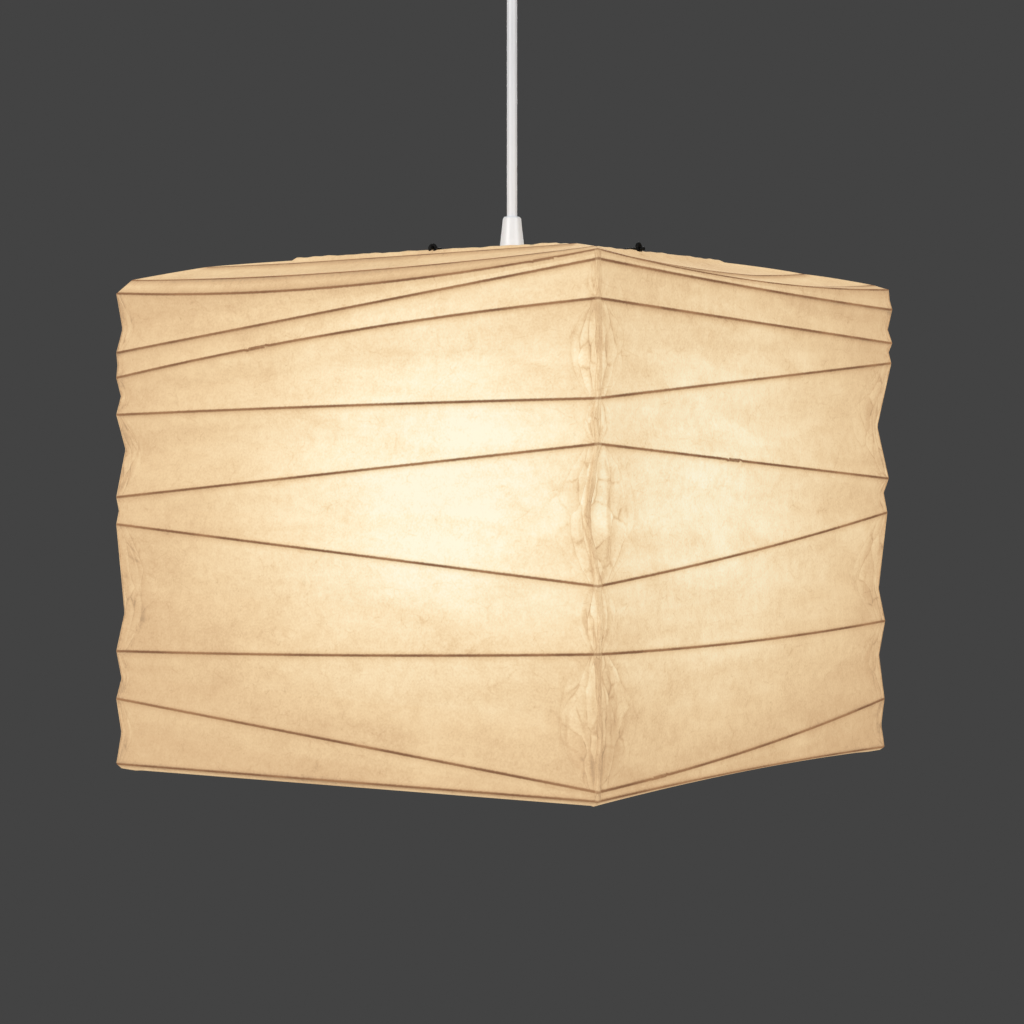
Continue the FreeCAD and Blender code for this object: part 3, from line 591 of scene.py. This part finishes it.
def stick_distance(side, row, u, below):
    """How far points lie from a hoop, or from the nearer of its ends where they lap."""
    for node, where, place in SPLICES:
        if (node, where) == (row.name, side):
            share = (u - place) * SIDE_HALF / SPLICE_LENGTH
            aside = np.clip((0.5 - np.abs(share)) / SPLICE_RUN_OUT + 1, 0, 1)
            end = np.abs(below + np.sign(share) * SPLICE_OFFSET * aside)
            both = np.maximum(np.abs(below) - SPLICE_OFFSET, 0) + SPLICE_DEEP
            return np.where(np.abs(share) > 0.5, end, both)
    return np.abs(below)


def facet_marks(side, index, u, t):
    """Places in the pattern of facets beside both corners, and how strongly they show there."""
    places, strength = np.zeros((len(u), 3)), np.zeros(len(u))
    if index in WALL_BANDS:
        for creases, near, across in beside_corners(side, index, u):
            places[near], strength[near] = creases.facet_places(across, t[near])
    return places, strength


def rib_marks(side, index, u, t):
    """Distance to the nearest hoop, and 1 just below a hoop or -1 just above one."""
    span = row_spans(side, index, u)
    distance, lean = np.full(len(u), RIB_FAR), np.zeros(len(u))
    for row, below in zip(ROWS[index : index + 2], (t * span, (t - 1) * span)):
        if row.name:
            here = stick_distance(side, row, u, below)
            lean = np.where(here < distance, np.sign(below) * (1 - here / RIB_FAR), lean)
            distance = np.minimum(distance, here)
    return distance * (ROOF_RIB_CLOSER if index < WALL_BANDS[0] else 1), lean


def roof_glow(distances):
    """Light through the roof and the underside, at distances from a hoop in millimetres."""
    return GLOW_OFF_WALL * (1 - ROOF_SHADE * np.exp(-((distances / ROOF_SHADE_REACH) ** 2)))


def wall_glow(side, points, normals):
    """Light through a side of the shade, from 0 to about 1."""
    least, added, centre, sideways, upwards, downwards = GLOW_SIDES[side]
    across = (points @ along_side(side) - centre) / sideways
    rise = points[:, 2] - GLOW_Z
    level = least + added / (1 + across**2 + (rise / np.where(rise > 0, upwards, downwards)) ** 2)
    ray = points - np.array([0, 0, GLOW_Z])
    ray /= np.linalg.norm(ray, axis=1)[:, None]
    tilt = np.einsum("ij,ij->i", normals - np.array(OUTWARD[side]), ray)
    return level * np.clip(1 + GLOW_TILT * tilt, *GLOW_RANGE)


def crease_marks(normals, count):
    """Where the paper bends sharply from one of the sheet's columns to the next, from 0 to 1."""
    grid = normals.reshape(-1, count, 3)
    bend = np.zeros(grid.shape[:2])
    bend[:, 1:-1] = np.linalg.norm(grid[:, 2:] - grid[:, :-2], axis=2)
    least, full = CREASE_BENDS
    return np.clip((bend - least) / (full - least), 0, 1).ravel()


def mesh_normals(piece):
    normals = np.zeros(len(piece.data.vertices) * 3, np.float32)
    piece.data.vertex_normals.foreach_get("vector", normals)
    return normals.reshape(-1, 3)


def fold_with_shade(piece):
    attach(piece, "lamp")
    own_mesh(piece)


def finish_paper(piece):
    """Gives a sheet its thickness, and attaches it to the lamp's body."""
    thicken = piece.modifiers.new("thickness", "SOLIDIFY")
    thicken.thickness = PAPER_THICKNESS
    thicken.offset = -1
    fold_with_shade(piece)


def sheet_values(side, columns):
    """Points of a side's sheet, row by row, and what its material reads at each of them."""
    bands = []
    for index in range(len(ROWS) - 1):
        steps = band_steps(index)
        u = np.tile(columns, len(steps))
        t = np.repeat(steps, len(columns))
        distance, lean = rib_marks(side, index, u, t)
        wall = np.full(len(u), index in WALL_BANDS)
        points = paper_point(side, index, u, t)
        bands.append((points, distance / MM, lean, wall, *facet_marks(side, index, u, t)))
    return [np.concatenate(values) for values in zip(*bands)]


def paper_sheet(side, material):
    """One side's sheet, from the top rim down over the wall and in to the lower rim."""
    columns = side_columns(side)
    points, distances, leans, walls, places, strengths = sheet_values(side, columns)
    faces = grid_faces(len(points) // len(columns), len(columns))
    piece = new_mesh(f"paper_{side}", points, faces, material)
    normals = mesh_normals(piece)
    attribute(piece, "rib", distances)
    attribute(piece, "lean", leans)
    attribute(piece, "facet", places)
    attribute(piece, "crumple", strengths)
    attribute(piece, "glow", np.where(walls, wall_glow(side, points, normals), roof_glow(distances)))
    attribute(piece, "crease", crease_marks(normals, len(columns)) * walls)
    middle = [row.points(side, np.array([0.0]))[0] for row in ROWS]
    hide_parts(f"paper_panel_{side}")
    finish_paper(piece)


def seam_points(corner, before, after, phase):
    """Points of the strip at a corner, row by row, and how far each row is from a hoop."""
    width_before, width_after = SEAM_WIDTHS[corner]
    corner_out = np.array([*CORNERS[corner], 0]) * math.sqrt(0.5)
    bands, distances = [], []
    for index in WALL_BANDS:
        t = band_steps(index)
        z = ROWS[index].heights[corner] * (1 - t) + ROWS[index + 1].heights[corner] * t
        waves = np.sin(z / SEAM_LONG_WAVE + phase) + np.sin(z / SEAM_SHORT_WAVE + 2 * phase)
        columns = []
        for step in SEAM_STEPS:
            side, end, width = (before, 1, width_before) if step <= 0 else (after, -1, width_after)
            reach = abs(step) * (1 + SEAM_WAVE * waves) * width
            out = np.array(OUTWARD[side]) if step else corner_out
            columns.append(paper_point(side, index, end * (1 - reach / SIDE_HALF), t) + out * SEAM_LIFT)
        bands.append(np.stack(columns, axis=1))
        distances.append(rib_marks(after, index, np.full(len(t), -1.0), t)[0] / MM)
    return np.concatenate(bands).reshape(-1, 3), np.concatenate(distances)


def seam(corner, material):
    """The strip where two sheets lap at a corner, from the top hoop of the wall down to the lowest."""
    before = next(side for side, ends in SIDES.items() if ends[1] == corner)
    after = next(side for side, ends in SIDES.items() if ends[0] == corner)
    phase = random.Random(f"seam {corner}").uniform(0, math.tau)
    points, distances = seam_points(corner, before, after, phase)
    count = len(SEAM_STEPS)
    piece = new_mesh(f"seam_{corner}", points, grid_faces(len(points) // count, count), material)
    sides = [wall_glow(side, points, np.array([OUTWARD[side]])) for side in (before, after)]
    steps = np.tile(SEAM_STEPS, len(points) // count)
    attribute(piece, "glow", np.where(steps <= 0, *sides))
    attribute(piece, "rib", np.repeat(distances, count))
    attribute(piece, "edge", np.abs(steps))
    widths = np.where(steps <= 0, *SEAM_WIDTHS[corner]) / SEAM_FACET_WIDE
    places = [steps * widths, points[:, 2] / SEAM_FACET_TALL, np.full(len(steps), phase)]
    attribute(piece, "facet", np.column_stack(places))
    attribute(piece, "crumple", np.full(len(steps), SEAM_FACETS))
    finish_paper(piece)


def sweep(path, outs, radii, sections=10, closed=True, normal=(0, 0, 1)):
    """Points and faces of a stick along a flat path, with the outward direction at each point."""
    points = []
    for centre, out, radius in zip(path, outs, radii):
        for step in range(sections):
            angle = math.tau * step / sections
            points.append(centre + radius * (math.cos(angle) * out + math.sin(angle) * np.array(normal)))
    faces = grid_faces(len(path), sections, closed=True)
    last = len(points) - sections
    if closed:
        for step in range(sections):
            after = (step + 1) % sections
            faces.append((last + step, step, after, last + after))
    else:
        faces.append(tuple(range(sections)))
        faces.append(tuple(reversed(range(last, len(points)))))
    return points, faces


def joined(shapes):
    """Points and faces of several shapes as one."""
    points, faces = [], []
    for more, sides in shapes:
        faces += [tuple(len(points) + corner for corner in face) for face in sides]
        points += more
    return points, faces


def hoop_line(row, side, places):
    """A hoop's centre line along a side, inside the paper."""
    out, up = SEAT_DIRECTIONS.get(row.name, (1.0, 0.0))
    seat = np.array(OUTWARD[side]) * out + np.array([0, 0, up])
    return row.points(side, places) - seat * RIB_SEAT


def hoop(row, material):
    """A split bamboo stick bent round the shade, with two knots on each side."""
    rng = random.Random(f"hoop {row.name}")
    path, outs, radii = [], [], []
    for side in SIDES:
        path += list(hoop_line(row, side, HOOP_PLACES))
        outs += [np.array(OUTWARD[side], float)] * len(HOOP_PLACES)
        knots = [rng.uniform(*places) for places in KNOT_PLACES]
        for place in HOOP_PLACES:
            nearness = max(0, 1 - min(abs(place - knot) for knot in knots) / KNOT_REACH)
            radii.append(RIB_RADIUS * (1 + KNOT_SIZE * nearness))
    piece = new_mesh(f"bamboo_{row.name}", *sweep(path, outs, radii), material)
    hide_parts(row.name)
    fold_with_shade(piece)


def splice_sticks(material):
    """The short sticks that lap each hoop's ends, on its inner side."""
    rows = {row.name: row for row in ROWS if row.name}
    radii = [SPLICE_RADIUS * size for size in SPLICE_TAPER]
    sticks = []
    for node, side, place in SPLICES:
        outward = np.array(OUTWARD[side], float)
        places = place + np.linspace(-0.5, 0.5, len(radii)) * SPLICE_LENGTH / SIDE_HALF
        path = hoop_line(rows[node], side, places) - outward * (RIB_RADIUS + SPLICE_RADIUS)
        sticks.append(sweep(path, [outward] * len(radii), radii, closed=False))
    piece = new_mesh("bamboo_laps", *joined(sticks), material)
    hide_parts("rib_splices")
    fold_with_shade(piece)


def rim_eyes(material):
    """The four loops of thicker wire that stand on the top rim, where the frame's arms end."""
    rim = np.array([vertex.co for vertex in frame["nodes"]["top_rim"].data.vertices])
    angles = np.linspace(0, math.tau, EYE_STEPS, endpoint=False)
    radii = [EYE_WIRE_RADIUS] * EYE_STEPS
    loops = []
    for side in SIDES:
        outward = np.array(OUTWARD[side], float)
        beside = rim[rim @ outward > (rim @ outward).max() - RIB_BITE]
        centre = beside[beside[:, 2].argmax()] + np.array([0, 0, EYE_RISES[side] - EYE_RADIUS])
        radial = np.outer(np.cos(angles), along_side(side)) + np.outer(np.sin(angles), (0, 0, 1))
        loops.append(sweep(centre + radial * EYE_RADIUS, radial, radii, normal=outward))
    piece = new_mesh("rim_eyes", *joined(loops), material)
    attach(piece, "lamp")


class Shader:
    """A material's nodes, added and linked by short calls."""

    def __init__(self, name):
        self.material = bpy.data.materials.new(name)
        self.material.use_nodes = True
        self.nodes = self.material.node_tree.nodes
        self.links = self.material.node_tree.links
        self.surface = self.nodes["Principled BSDF"]
        self.coordinates = self.add("TexCoord").outputs["Object"]

    def set(self, **values):
        for socket, value in values.items():
            self.surface.inputs[socket.replace("_", " ")].default_value = value

    def feed(self, socket, source):
        self.links.new(source, self.surface.inputs[socket])

    def add(self, kind, inputs=(), **settings):
        node = self.nodes.new(f"ShaderNode{kind}")
        for key, value in settings.items():
            setattr(node, key, value)
        for socket, value in dict(inputs).items():
            if isinstance(value, bpy.types.NodeSocket):
                self.links.new(value, node.inputs[socket])
            else:
                node.inputs[socket].default_value = value
        return node

    def noise(self, scale, detail=3.0, distortion=0.0, stretch=(1, 1, 1)):
        mapped = self.add("Mapping", {"Vector": self.coordinates, "Scale": stretch})
        inputs = {"Vector": mapped.outputs[0], "Scale": scale, "Detail": detail, "Distortion": distortion}
        return self.add("TexNoise", inputs).outputs[0]

    def attribute(self, name):
        return self.add("Attribute", attribute_name=name).outputs["Fac"]

    def math(self, operation, first, *others):
        for value in others:
            first = self.add("Math", {0: first, 1: value}, operation=operation).outputs[0]
        return first

    def times(self, *values):
        return self.math("MULTIPLY", *values)

    def first_part(self, vector):
        return self.add("SeparateXYZ", {0: vector}).outputs[0]

    def bent(self, places, scale, amount, detail=2.0):
        """Places that a noise moves about."""
        noise = self.add("TexNoise", {"Vector": places, "Scale": scale, "Detail": detail})
        inputs = {0: noise.outputs["Color"], 1: amount, 2: places}
        return self.add("VectorMath", inputs, operation="MULTIPLY_ADD").outputs[0]

    def cells(self, places, scale, feature):
        return self.add("TexVoronoi", {"Vector": places, "Scale": scale}, feature=feature).outputs

    def fit(self, value, low, high, to_low=0.0, to_high=1.0, smooth=False):
        inputs = {"Value": value, "From Min": low, "From Max": high, "To Min": to_low, "To Max": to_high}
        kind = "SMOOTHSTEP" if smooth else "LINEAR"
        return self.add("MapRange", inputs, interpolation_type=kind).outputs[0]

    def ramp(self, value, stops):
        node = self.add("ValToRGB", {"Fac": value})
        elements = node.color_ramp.elements
        while len(elements) < len(stops):
            elements.new(0.5)
        for element, (place, colour) in zip(elements, stops):
            element.position = place
            element.color = (*colour, 1)
        return node.outputs[0]

    def mix(self, share, first, second):
        inputs = {0: share}
        for socket, colour in ((6, first), (7, second)):
            inputs[socket] = colour if isinstance(colour, bpy.types.NodeSocket) else (*colour, 1)
        return self.add("Mix", inputs, data_type="RGBA").outputs[2]

    def bump(self, height, distance, strength=1.0):
        inputs = {"Height": height, "Distance": distance, "Strength": strength}
        self.feed("Normal", self.add("Bump", inputs).outputs[0])


# Light through the paper, from its dimmest to its brightest
GLOW_STOPS = (
    (0.00, (0.040, 0.020, 0.008)),
    (0.085, (0.295, 0.173, 0.086)),
    (0.131, (0.432, 0.268, 0.134)),
    (0.242, (0.588, 0.422, 0.236)),
    (0.336, (0.680, 0.535, 0.332)),
    (0.464, (0.730, 0.658, 0.464)),
    (0.600, (0.750, 0.740, 0.600)),
)
PAPER_TINT = (0.300, 0.220, 0.134)
FIBRE_TINT = (0.240, 0.176, 0.1072)
THICK_SCALE = 24.0  # of the noise that makes the paper thick or thin, and its values there
THICK_RANGE = (0.38, 0.62)
DOUBLE_DIMS = (0.56, 0.86)  # light through two layers, as a share of the light through one
DOUBLE_EDGE = (0.7, 1.0, 1.0, 0.8)  # where a seam gets darker towards its edge, and its light there
DOUBLE_RIB = 0.75
CREASE_DIMS = 0.62  # light through the sharpest crease
FACET_BEND = 0.32  # how crooked the facets are
FACET_BEND_SCALE = 1.6
FACET_TONES = (-0.15, 0.11)  # how much darker or lighter a facet is painted than the paper round it, as shade and light
FACET_LEAN = 0.32  # how much the painted light changes across a facet
FACET_LINE = 0.5  # how dark the painted shade of the creases between facets is
FACET_LINE_WIDTH = 0.075
FACET_BREAKS = (0.4, 0.6)
CRINKLES = ((34.0, 0.19), (95.0, 0.12))  # fine creases painted as shade: how many to a metre, and how dark they are
CRINKLE_STRETCH = (1, 1, 1.5)
CRINKLE_BEND = 0.5
CRINKLE_WIDTH = 0.035
CRINKLE_BREAKS = (0.48, 0.62)
RIB_TINT = (0.100, 0.050, 0.026)
HOOP_SHADOW_LIGHTS = ((0.155, 0.075, 0.036), (0.290, 0.152, 0.071))  # light left in the painted shadow of a hoop, through thick and through thin paper
RIB_EDGE = (0.35, 1.5)  # where the line of a hoop starts to fade and ends, in millimetres
RIB_ROUGH = 0.16
PASTE_AND_SHADE_BELOW = (1.2, 5.5)  # where the painted shade of a hoop and the paste below and above it start to fade and end
PASTE_AND_SHADE_ABOVE = (1.0, 3.5)
PASTE_AND_SHADE_LEAN = 0.6
PASTE_AND_SHADE_DARK = (0.24, 0.10)  # light lost to painted shade and paste below and above a hoop

# Fibres in the paper: scale of their noise and of their breaks, lines in a noise and their width
DARK_FIBRES = (55.0, 120.0)
PALE_FIBRES = (83.0, 150.0)
FIBRE_LINES = 11.0
FIBRE_WIDTH = 0.045
FIBRE_BREAKS = (0.5, 0.62)
FIBRE_LIGHTS = (0.15, 0.11)  # light lost in the dark ones and gained in the pale ones

# Uneven thickness of the paper: change of light, and each noise's scale, detail, distortion and stretch
MOTTLE = (
    (0.09, 26.0, 5.0, 0.3, (1, 1, 1.6)),
    (0.15, 11.0, 5.0, 0.6, (1, 1, 4)),
    (0.09, 130.0),
    (0.14, 620.0),
)
SPECKS = (0.70, 0.78, 0.0, 0.16)  # where a noise makes dark specks, and the light lost there
NOISE_RANGE = (0.3, 0.7)
ROUGHNESS_SPREAD = 0.15
BAMBOO_GRAIN = ((0.25, (0.17, 0.095, 0.045)), (0.75, (0.36, 0.23, 0.125)))
BAMBOO_PATCH = (0.22, 0.125, 0.06)
BULB_LIGHT = ((0.3, (1.0, 0.80, 0.52)), (0.7, (1.0, 0.86, 0.62)))


def fibre_mask(shader, scale, breaks):
    """Long thin curved hairs, broken here and there."""
    field = shader.noise(scale, 2.0, 0.6)
    line = shader.math("PINGPONG", shader.times(field, FIBRE_LINES), 0.5)
    hair = shader.fit(line, 0.0, FIBRE_WIDTH, 1.0, 0.0)
    return shader.times(hair, shader.fit(shader.noise(breaks, 2.0), *FIBRE_BREAKS))


def crinkle_shade(shader, scale):
    """Faint sharp creases all over a sheet, broken here and there, painted as dark lines of shade."""
    mapped = shader.add("Mapping", {"Vector": shader.coordinates, "Scale": CRINKLE_STRETCH})
    crooked = shader.bent(mapped.outputs[0], 1.5 * scale, [CRINKLE_BEND / scale] * 3)
    edges = shader.cells(crooked, scale, "DISTANCE_TO_EDGE")
    line = shader.fit(edges["Distance"], 0.0, CRINKLE_WIDTH, 1.0, 0.0)
    return shader.times(line, shader.fit(shader.noise(2.2 * scale, 2.0), *CRINKLE_BREAKS))


def paper_mottle(shader, dark_fibres, pale_fibres):
    """How much light the paper's own thickness lets through from place to place, less the painted shade of
    fine creases, about 1.
    """
    lost, gained = FIBRE_LIGHTS
    lighter = [shader.times(pale_fibres, gained)]
    for change, *noise in MOTTLE:
        lighter.append(shader.fit(shader.noise(*noise), *NOISE_RANGE, -change, change))
    darker = [shader.times(dark_fibres, lost), shader.fit(shader.noise(210.0, 2.0), *SPECKS)]
    for scale, dark in CRINKLES:
        darker.append(shader.times(crinkle_shade(shader, scale), dark))
    return shader.math("SUBTRACT", shader.math("ADD", 1.0, *lighter), *darker)


def rib_mask(shader):
    """1 on a hoop, falling to 0 beside it, with a slightly rough edge."""
    rough = shader.fit(shader.noise(420.0, 4.0), *NOISE_RANGE, -RIB_ROUGH, RIB_ROUGH)
    distance = shader.math("ADD", shader.attribute("rib"), rough)
    return shader.fit(distance, *RIB_EDGE, 1.0, 0.0, smooth=True)


def hoop_shade_and_paste(shader):
    """Share of the light beside a hoop, lost to painted shade of the hoop and to paste soaked in there,
    more below it than above.
    """
    dark_below, dark_above = PASTE_AND_SHADE_DARK
    distance = shader.attribute("rib")
    side = shader.fit(shader.attribute("lean"), 0.0, PASTE_AND_SHADE_LEAN, 0.0, dark_below)
    below = shader.times(shader.fit(distance, *PASTE_AND_SHADE_BELOW, 1.0, 0.0), side)
    return shader.math("SUBTRACT", 1.0, below, shader.fit(distance, *PASTE_AND_SHADE_ABOVE, dark_above, 0.0))


def facet_light(shader):
    """Painted light and shade of facets with sharp creases between them in crumpled paper, about 1."""
    places = shader.add("Attribute", attribute_name="facet").outputs["Vector"]
    crooked = shader.bent(places, FACET_BEND_SCALE, (FACET_BEND, FACET_BEND, 0), 3.0)
    facets, edges = (shader.cells(crooked, 1.0, feature) for feature in ("F1", "DISTANCE_TO_EDGE"))
    tone = shader.fit(shader.first_part(facets["Color"]), 0.0, 1.0, *FACET_TONES)
    ends = {0: crooked, 1: facets["Position"]}
    away = shader.add("VectorMath", ends, operation="SUBTRACT").outputs[0]
    tone = shader.math("ADD", tone, shader.times(shader.first_part(away), FACET_LEAN))
    line = shader.fit(edges["Distance"], 0.0, FACET_LINE_WIDTH, FACET_LINE, 0.0)
    breaks = shader.fit(shader.noise(90.0, 2.0), *FACET_BREAKS)
    tone = shader.math("SUBTRACT", tone, shader.times(line, breaks))
    return shader.math("ADD", shader.times(tone, shader.attribute("crumple")), 1.0)


def paper_material(name, double):
    """Aged paper that glows by its glow attribute, with the hoops' shadows painted as dark lines in that
    light and their brown showing through its colour.
    """
    shader = Shader(name)
    dark_fibres, pale_fibres = fibre_mask(shader, *DARK_FIBRES), fibre_mask(shader, *PALE_FIBRES)
    thickness = shader.noise(THICK_SCALE)
    shares = [paper_mottle(shader, dark_fibres, pale_fibres), facet_light(shader)]
    rib = rib_mask(shader)
    if double:
        shares.append(shader.fit(thickness, *THICK_RANGE, *DOUBLE_DIMS))
        shares.append(shader.fit(shader.attribute("edge"), *DOUBLE_EDGE))
        rib = shader.times(rib, DOUBLE_RIB)
    else:
        shares.append(hoop_shade_and_paste(shader))
        shares.append(shader.fit(shader.attribute("crease"), 0.0, 1.0, 1.0, CREASE_DIMS))
    light = shader.ramp(shader.times(shader.attribute("glow"), *shares), GLOW_STOPS)
    # The hoops' painted shadows: the light through the paper gives way to the dim light left behind a hoop.
    stick = shader.mix(shader.fit(thickness, *THICK_RANGE), *HOOP_SHADOW_LIGHTS)
    shader.feed("Emission Color", shader.mix(rib, light, stick))
    colour = shader.mix(dark_fibres, PAPER_TINT, FIBRE_TINT)
    shader.feed("Base Color", shader.mix(rib, colour, RIB_TINT))
    shader.set(Emission_Strength=1.0, Roughness=0.8, Specular_IOR_Level=0.08)
    wrinkles = shader.times(shader.noise(70.0, 6.0, 0.4), 0.7)
    shader.bump(shader.math("ADD", wrinkles, shader.times(dark_fibres, 0.25)), 0.5 * MM, 0.45)
    shader.material.cycles.emission_sampling = "NONE"
    return shader.material


def plain_material(
    name, colour, roughness, metallic=0.0, gloss=0.5, scale=160.0, spread=0.05, bump=0.04, stretch=(1, 1, 1)
):
    """A finish with slight unevenness of colour, gloss and surface."""
    shader = Shader(name)
    uneven = shader.noise(scale, 4.0, 0.0, stretch)
    dark = [part * (1 - spread) for part in colour]
    light = [min(1.0, part * (1 + spread)) for part in colour]
    shader.feed("Base Color", shader.ramp(uneven, tuple(zip(NOISE_RANGE, (dark, light)))))
    glossy, dull = roughness * (1 - ROUGHNESS_SPREAD), roughness * (1 + ROUGHNESS_SPREAD)
    shader.feed("Roughness", shader.fit(uneven, *NOISE_RANGE, glossy, dull))
    shader.set(Metallic=metallic, Specular_IOR_Level=gloss)
    shader.bump(shader.noise(scale * 4, 3.0, 0.0, stretch), 0.1 * MM, bump)
    return shader.material


def bamboo_material():
    shader = Shader("bamboo")
    grain = shader.noise(140.0, 5.0, 0.2, (1, 1, 14))
    patches = shader.fit(shader.noise(30.0), *NOISE_RANGE, 0.0, 0.5)
    shader.feed("Base Color", shader.mix(patches, shader.ramp(grain, BAMBOO_GRAIN), BAMBOO_PATCH))
    shader.feed("Roughness", shader.fit(grain, 0.2, 0.8, 0.5, 0.75))
    shader.bump(grain, 0.3 * MM, 0.4)
    return shader.material


def bulb_material():
    shader = Shader("opal_glass")
    shader.feed("Emission Color", shader.ramp(shader.noise(35.0), BULB_LIGHT))
    shader.set(Emission_Strength=3.5, Roughness=0.28, Base_Color=(0.9, 0.88, 0.82, 1))
    return shader.material


PLAIN_FINISHES = {
    "white_plastic": dict(colour=(0.76, 0.78, 0.81), roughness=0.38, spread=0.02),
    "white_cord": dict(colour=(0.74, 0.755, 0.785), roughness=0.42, spread=0.025, stretch=(1, 1, 0.2)),
    "black_wire": dict(colour=(0.003, 0.003, 0.003), roughness=0.6, gloss=0.1, spread=0.2, bump=0.1),
    "zinc_steel": dict(colour=(0.56, 0.56, 0.57), roughness=0.34, metallic=1.0, spread=0.09, bump=0.08),
    "brass": dict(colour=(0.70, 0.50, 0.22), roughness=0.30, metallic=1.0, spread=0.10, bump=0.06),
    "porcelain": dict(colour=(0.82, 0.80, 0.76), roughness=0.34, spread=0.03),
    "cap_metal": dict(colour=(0.66, 0.66, 0.67), roughness=0.30, metallic=1.0, spread=0.06, bump=0.06),
}
FLOOR_FINISH = dict(colour=(0.62, 0.61, 0.59), roughness=0.6, scale=8.0, spread=0.02)


def slot_materials():
    materials = {name: plain_material(name, **finish) for name, finish in PLAIN_FINISHES.items()}
    materials["opal_glass"] = bulb_material()
    materials["bamboo"] = bamboo_material()
    materials["aged_paper"] = paper_material("aged_paper", double=False)
    return materials


def dress_nodes(materials):
    """Gives every piece of the frame its slot's material."""
    for subpart in frame["record"]["subparts"]:
        node = frame["nodes"][subpart["node"]]
        node.data.materials.clear()
        node.data.materials.append(materials[subpart["material_slot"]])


def power_cord(material):
    curve = bpy.data.curves.new("cord", "CURVE")
    curve.dimensions = "3D"
    spline = curve.splines.new("NURBS")
    heights = (CORD_BOTTOM_Z, (CORD_BOTTOM_Z + CORD_TOP_Z) / 2, CORD_TOP_Z)
    spline.points.add(len(heights) - 1)
    for point, z in zip(spline.points, heights):
        point.co = (0, 0, z, 1)
    spline.order_u = 3
    spline.use_endpoint_u = True
    curve.bevel_depth = CORD_DIAMETER / 2
    curve.bevel_resolution = 8
    curve.materials.append(material)
    cord = new_object("cord", curve)
    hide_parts("power_cord")
    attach(cord, "hanger")


def area_light(name, place, size, power):
    light = bpy.data.lights.new(name, "AREA")
    light.shape = "DISK"
    light.size = size
    light.energy = power
    lamp = new_object(name, light)
    lamp.location = place
    target = Vector((0, 0, SHADE_BASE_Z + SIDE_HALF))
    lamp.rotation_euler = (target - Vector(place)).to_track_quat("-Z", "Y").to_euler()


def around_view(turn, distance, z):
    """A place at a turn in degrees to the right of the camera's own direction from the lamp."""
    angle = CAMERA_TURN + math.radians(turn)
    return (distance * math.sin(angle), -distance * math.cos(angle), z)


def studio():
    world = bpy.data.worlds.new("backdrop")
    world.use_nodes = True
    backdrop = world.node_tree.nodes["Background"].inputs[0]
    backdrop.default_value = (BACKDROP_GREY, BACKDROP_GREY, BACKDROP_GREY, 1)
    bpy.context.scene.world = world
    area_light("overhead", (0, 0, OVERHEAD_Z), OVERHEAD_SIZE, OVERHEAD_POWER)
    for name, (turn, size, power) in SOFTBOXES.items():
        area_light(name, around_view(turn, SOFTBOX_DISTANCE, SOFTBOX_Z), size, power)
    bpy.ops.mesh.primitive_circle_add(vertices=96, radius=FLOOR_RADIUS, fill_type="NGON",
                                      location=(0, 0, CAMERA_Z - FLOOR_DROP))
    floor = bpy.context.object
    floor.name = "floor"
    floor.data.materials.append(plain_material("pale_floor", **FLOOR_FINISH))


def camera():
    data = bpy.data.cameras.new("camera")
    data.sensor_width = SENSOR_WIDTH
    data.lens = FOCAL_PIXELS / IMAGE_SIZE * SENSOR_WIDTH
    view = new_object("camera", data)
    view.location = around_view(0, CAMERA_DISTANCE, CAMERA_Z)
    view.rotation_euler = (math.pi / 2, 0, CAMERA_TURN)
    bpy.context.scene.camera = view
    bpy.context.scene.view_settings.view_transform = "Standard"


def shade(materials):
    for side in SIDES:
        paper_sheet(side, materials["aged_paper"])
    double_paper = paper_material("double_paper", double=True)
    for corner in CORNERS:
        seam(corner, double_paper)
    for row in ROWS:
        if row.name:
            hoop(row, materials["bamboo"])
    splice_sticks(materials["bamboo"])
    rim_eyes(materials["black_wire"])


camera()
studio()
finishes = slot_materials()
dress_nodes(finishes)
power_cord(finishes["white_cord"])
shade(finishes)
